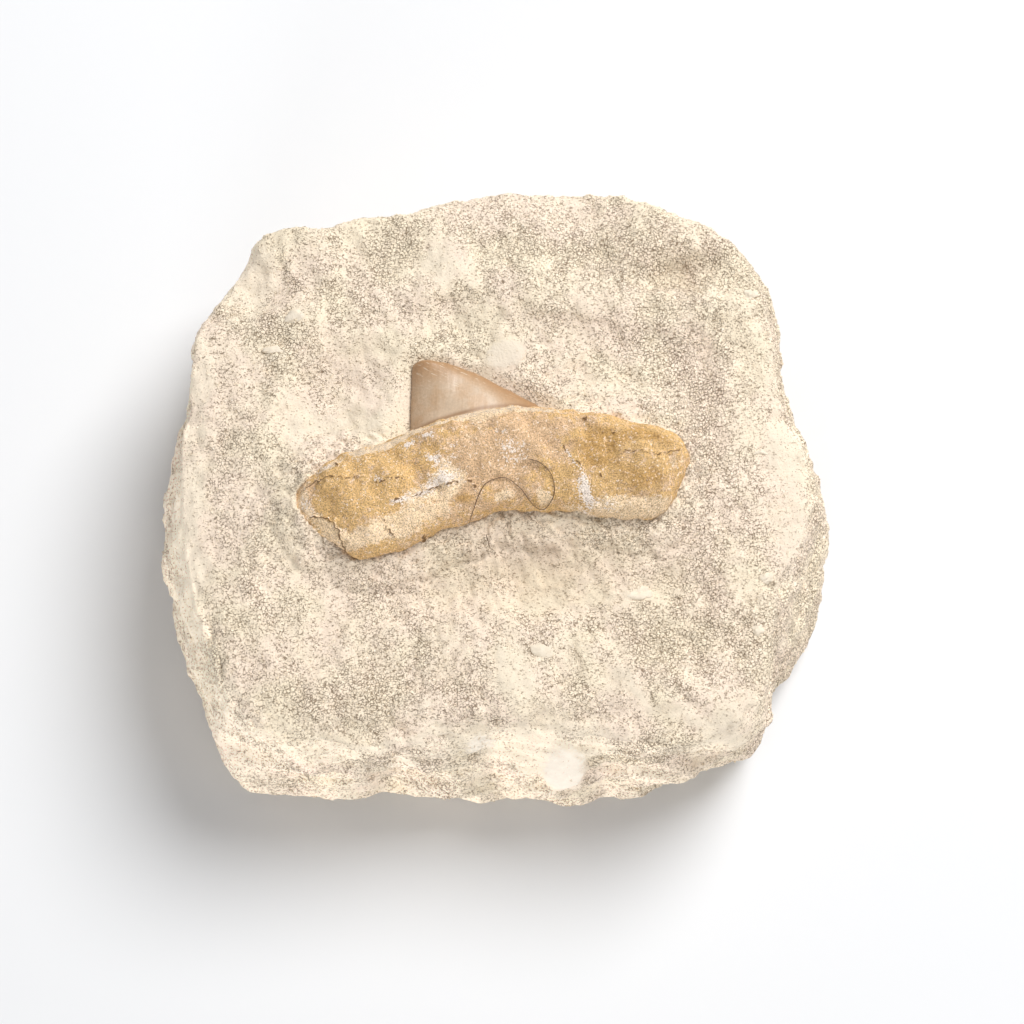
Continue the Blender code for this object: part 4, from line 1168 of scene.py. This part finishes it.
# A stray hair on the root and a scrap of one on the rock.
hairs = {
    "radius": 0.060,  # mm
    "sides": 8,
    "stepsPerRun": 9,
    "colours": ((0.085, 0.042, 0.018), (0.150, 0.085, 0.040)),
    # x and y of each line's points, and how far it stays above the surface
    "strayHair": ([
        (-3.6, -7.3), (-2.8, -5.3), (-1.8, -2.9), (-0.7, -1.5), (1.1, -0.8), (2.6, -1.1), (4.1, -2.3),
        (5.7, -4.2), (7.2, -5.0), (8.5, -4.5), (9.3, -3.1), (9.1, -0.9), (8.1, 0.6), (6.6, 1.6),
        (5.2, 2.0)], 0.08),
    "hairScrap": ([(-1.0, -8.4), (-0.75, -9.3), (-0.35, -10.6)], 0.48),
}


def smoothPath(points, steps):
    # Catmull-Rom through the points: each run is a cubic set by its four nearest points.
    ends = np.concatenate([[2 * points[0] - points[1]], points, [2 * points[-1] - points[-2]]])
    t = np.linspace(0, 1, steps, endpoint=False)[:, None]
    runs = []
    for a, b, c, d in zip(ends[:-3], ends[1:-2], ends[2:-1], ends[3:]):
        squared, cubed = 2 * a - 5 * b + 4 * c - d, 3 * b - a - 3 * c + d
        runs.append(0.5 * (2 * b + (c - a) * t + squared * t**2 + cubed * t**3))
    return np.concatenate([*runs, ends[-2:-1]])


def surfaceHeight(x, y):
    # The highest of the root's and the rock's points within a short reach of each place.
    spots = np.concatenate([rootRings.reshape(-1, 3), rockRings[rockRings[..., 2] > 25]])
    spots = spots[(np.abs(spots[:, 0] - x.mean()) < 12) & (np.abs(spots[:, 1] - y.mean()) < 12)]
    away = (spots[:, 0][None] - x[:, None]) ** 2 + (spots[:, 1][None] - y[:, None]) ** 2
    return np.where(away < 0.35**2, spots[:, 2][None], -1e9).max(axis=1)


def addHair(name, material):
    # A tube along the path: rings of points square to it, lying just on the surface below, whose
    # height is the mean of five neighbours.
    path, raised = hairs[name]
    x, y = smoothPath(np.array(path, float), hairs["stepsPerRun"]).T
    height = np.convolve(np.pad(surfaceHeight(x, y), 2, mode="edge"), np.ones(5) / 5, mode="valid")
    centre = np.stack([x, y, height + hairs["radius"] + raised], axis=-1)
    along = np.gradient(centre, axis=0)
    along /= np.linalg.norm(along, axis=-1, keepdims=True)
    side = np.cross(along, (0.0, 0.0, 1.0))
    side /= np.linalg.norm(side, axis=-1, keepdims=True)
    lift = np.cross(side, along)
    turn = np.linspace(0, 2 * math.pi, hairs["sides"], endpoint=False)
    taper = np.sqrt(np.clip(1 - np.abs(np.linspace(-1, 1, len(x))) ** 24, 0.05, 1))
    ring = np.cos(turn)[None, :, None] * side[:, None] + np.sin(turn)[None, :, None] * lift[:, None]
    rings = centre[:, None] + hairs["radius"] * taper[:, None, None] * ring
    addSurface(name, rings[:, ::-1], material, {})


def hairMaterial():
    # Two dark browns in bands.
    recipe = Recipe("brownHair")
    place = recipe.millimetres()
    bands = recipe.noise(place, 0.7, 2.0)
    colour = recipe.blend(recipe.smooth(bands, 0.35, 0.65), *hairs["colours"])
    return recipe.finish(colour, 0.45, recipe.bump(bands, 0.02), Specular_IOR_Level=0.5)


brownHair = hairMaterial()
addHair("strayHair", brownHair)
addHair("hairScrap", brownHair)
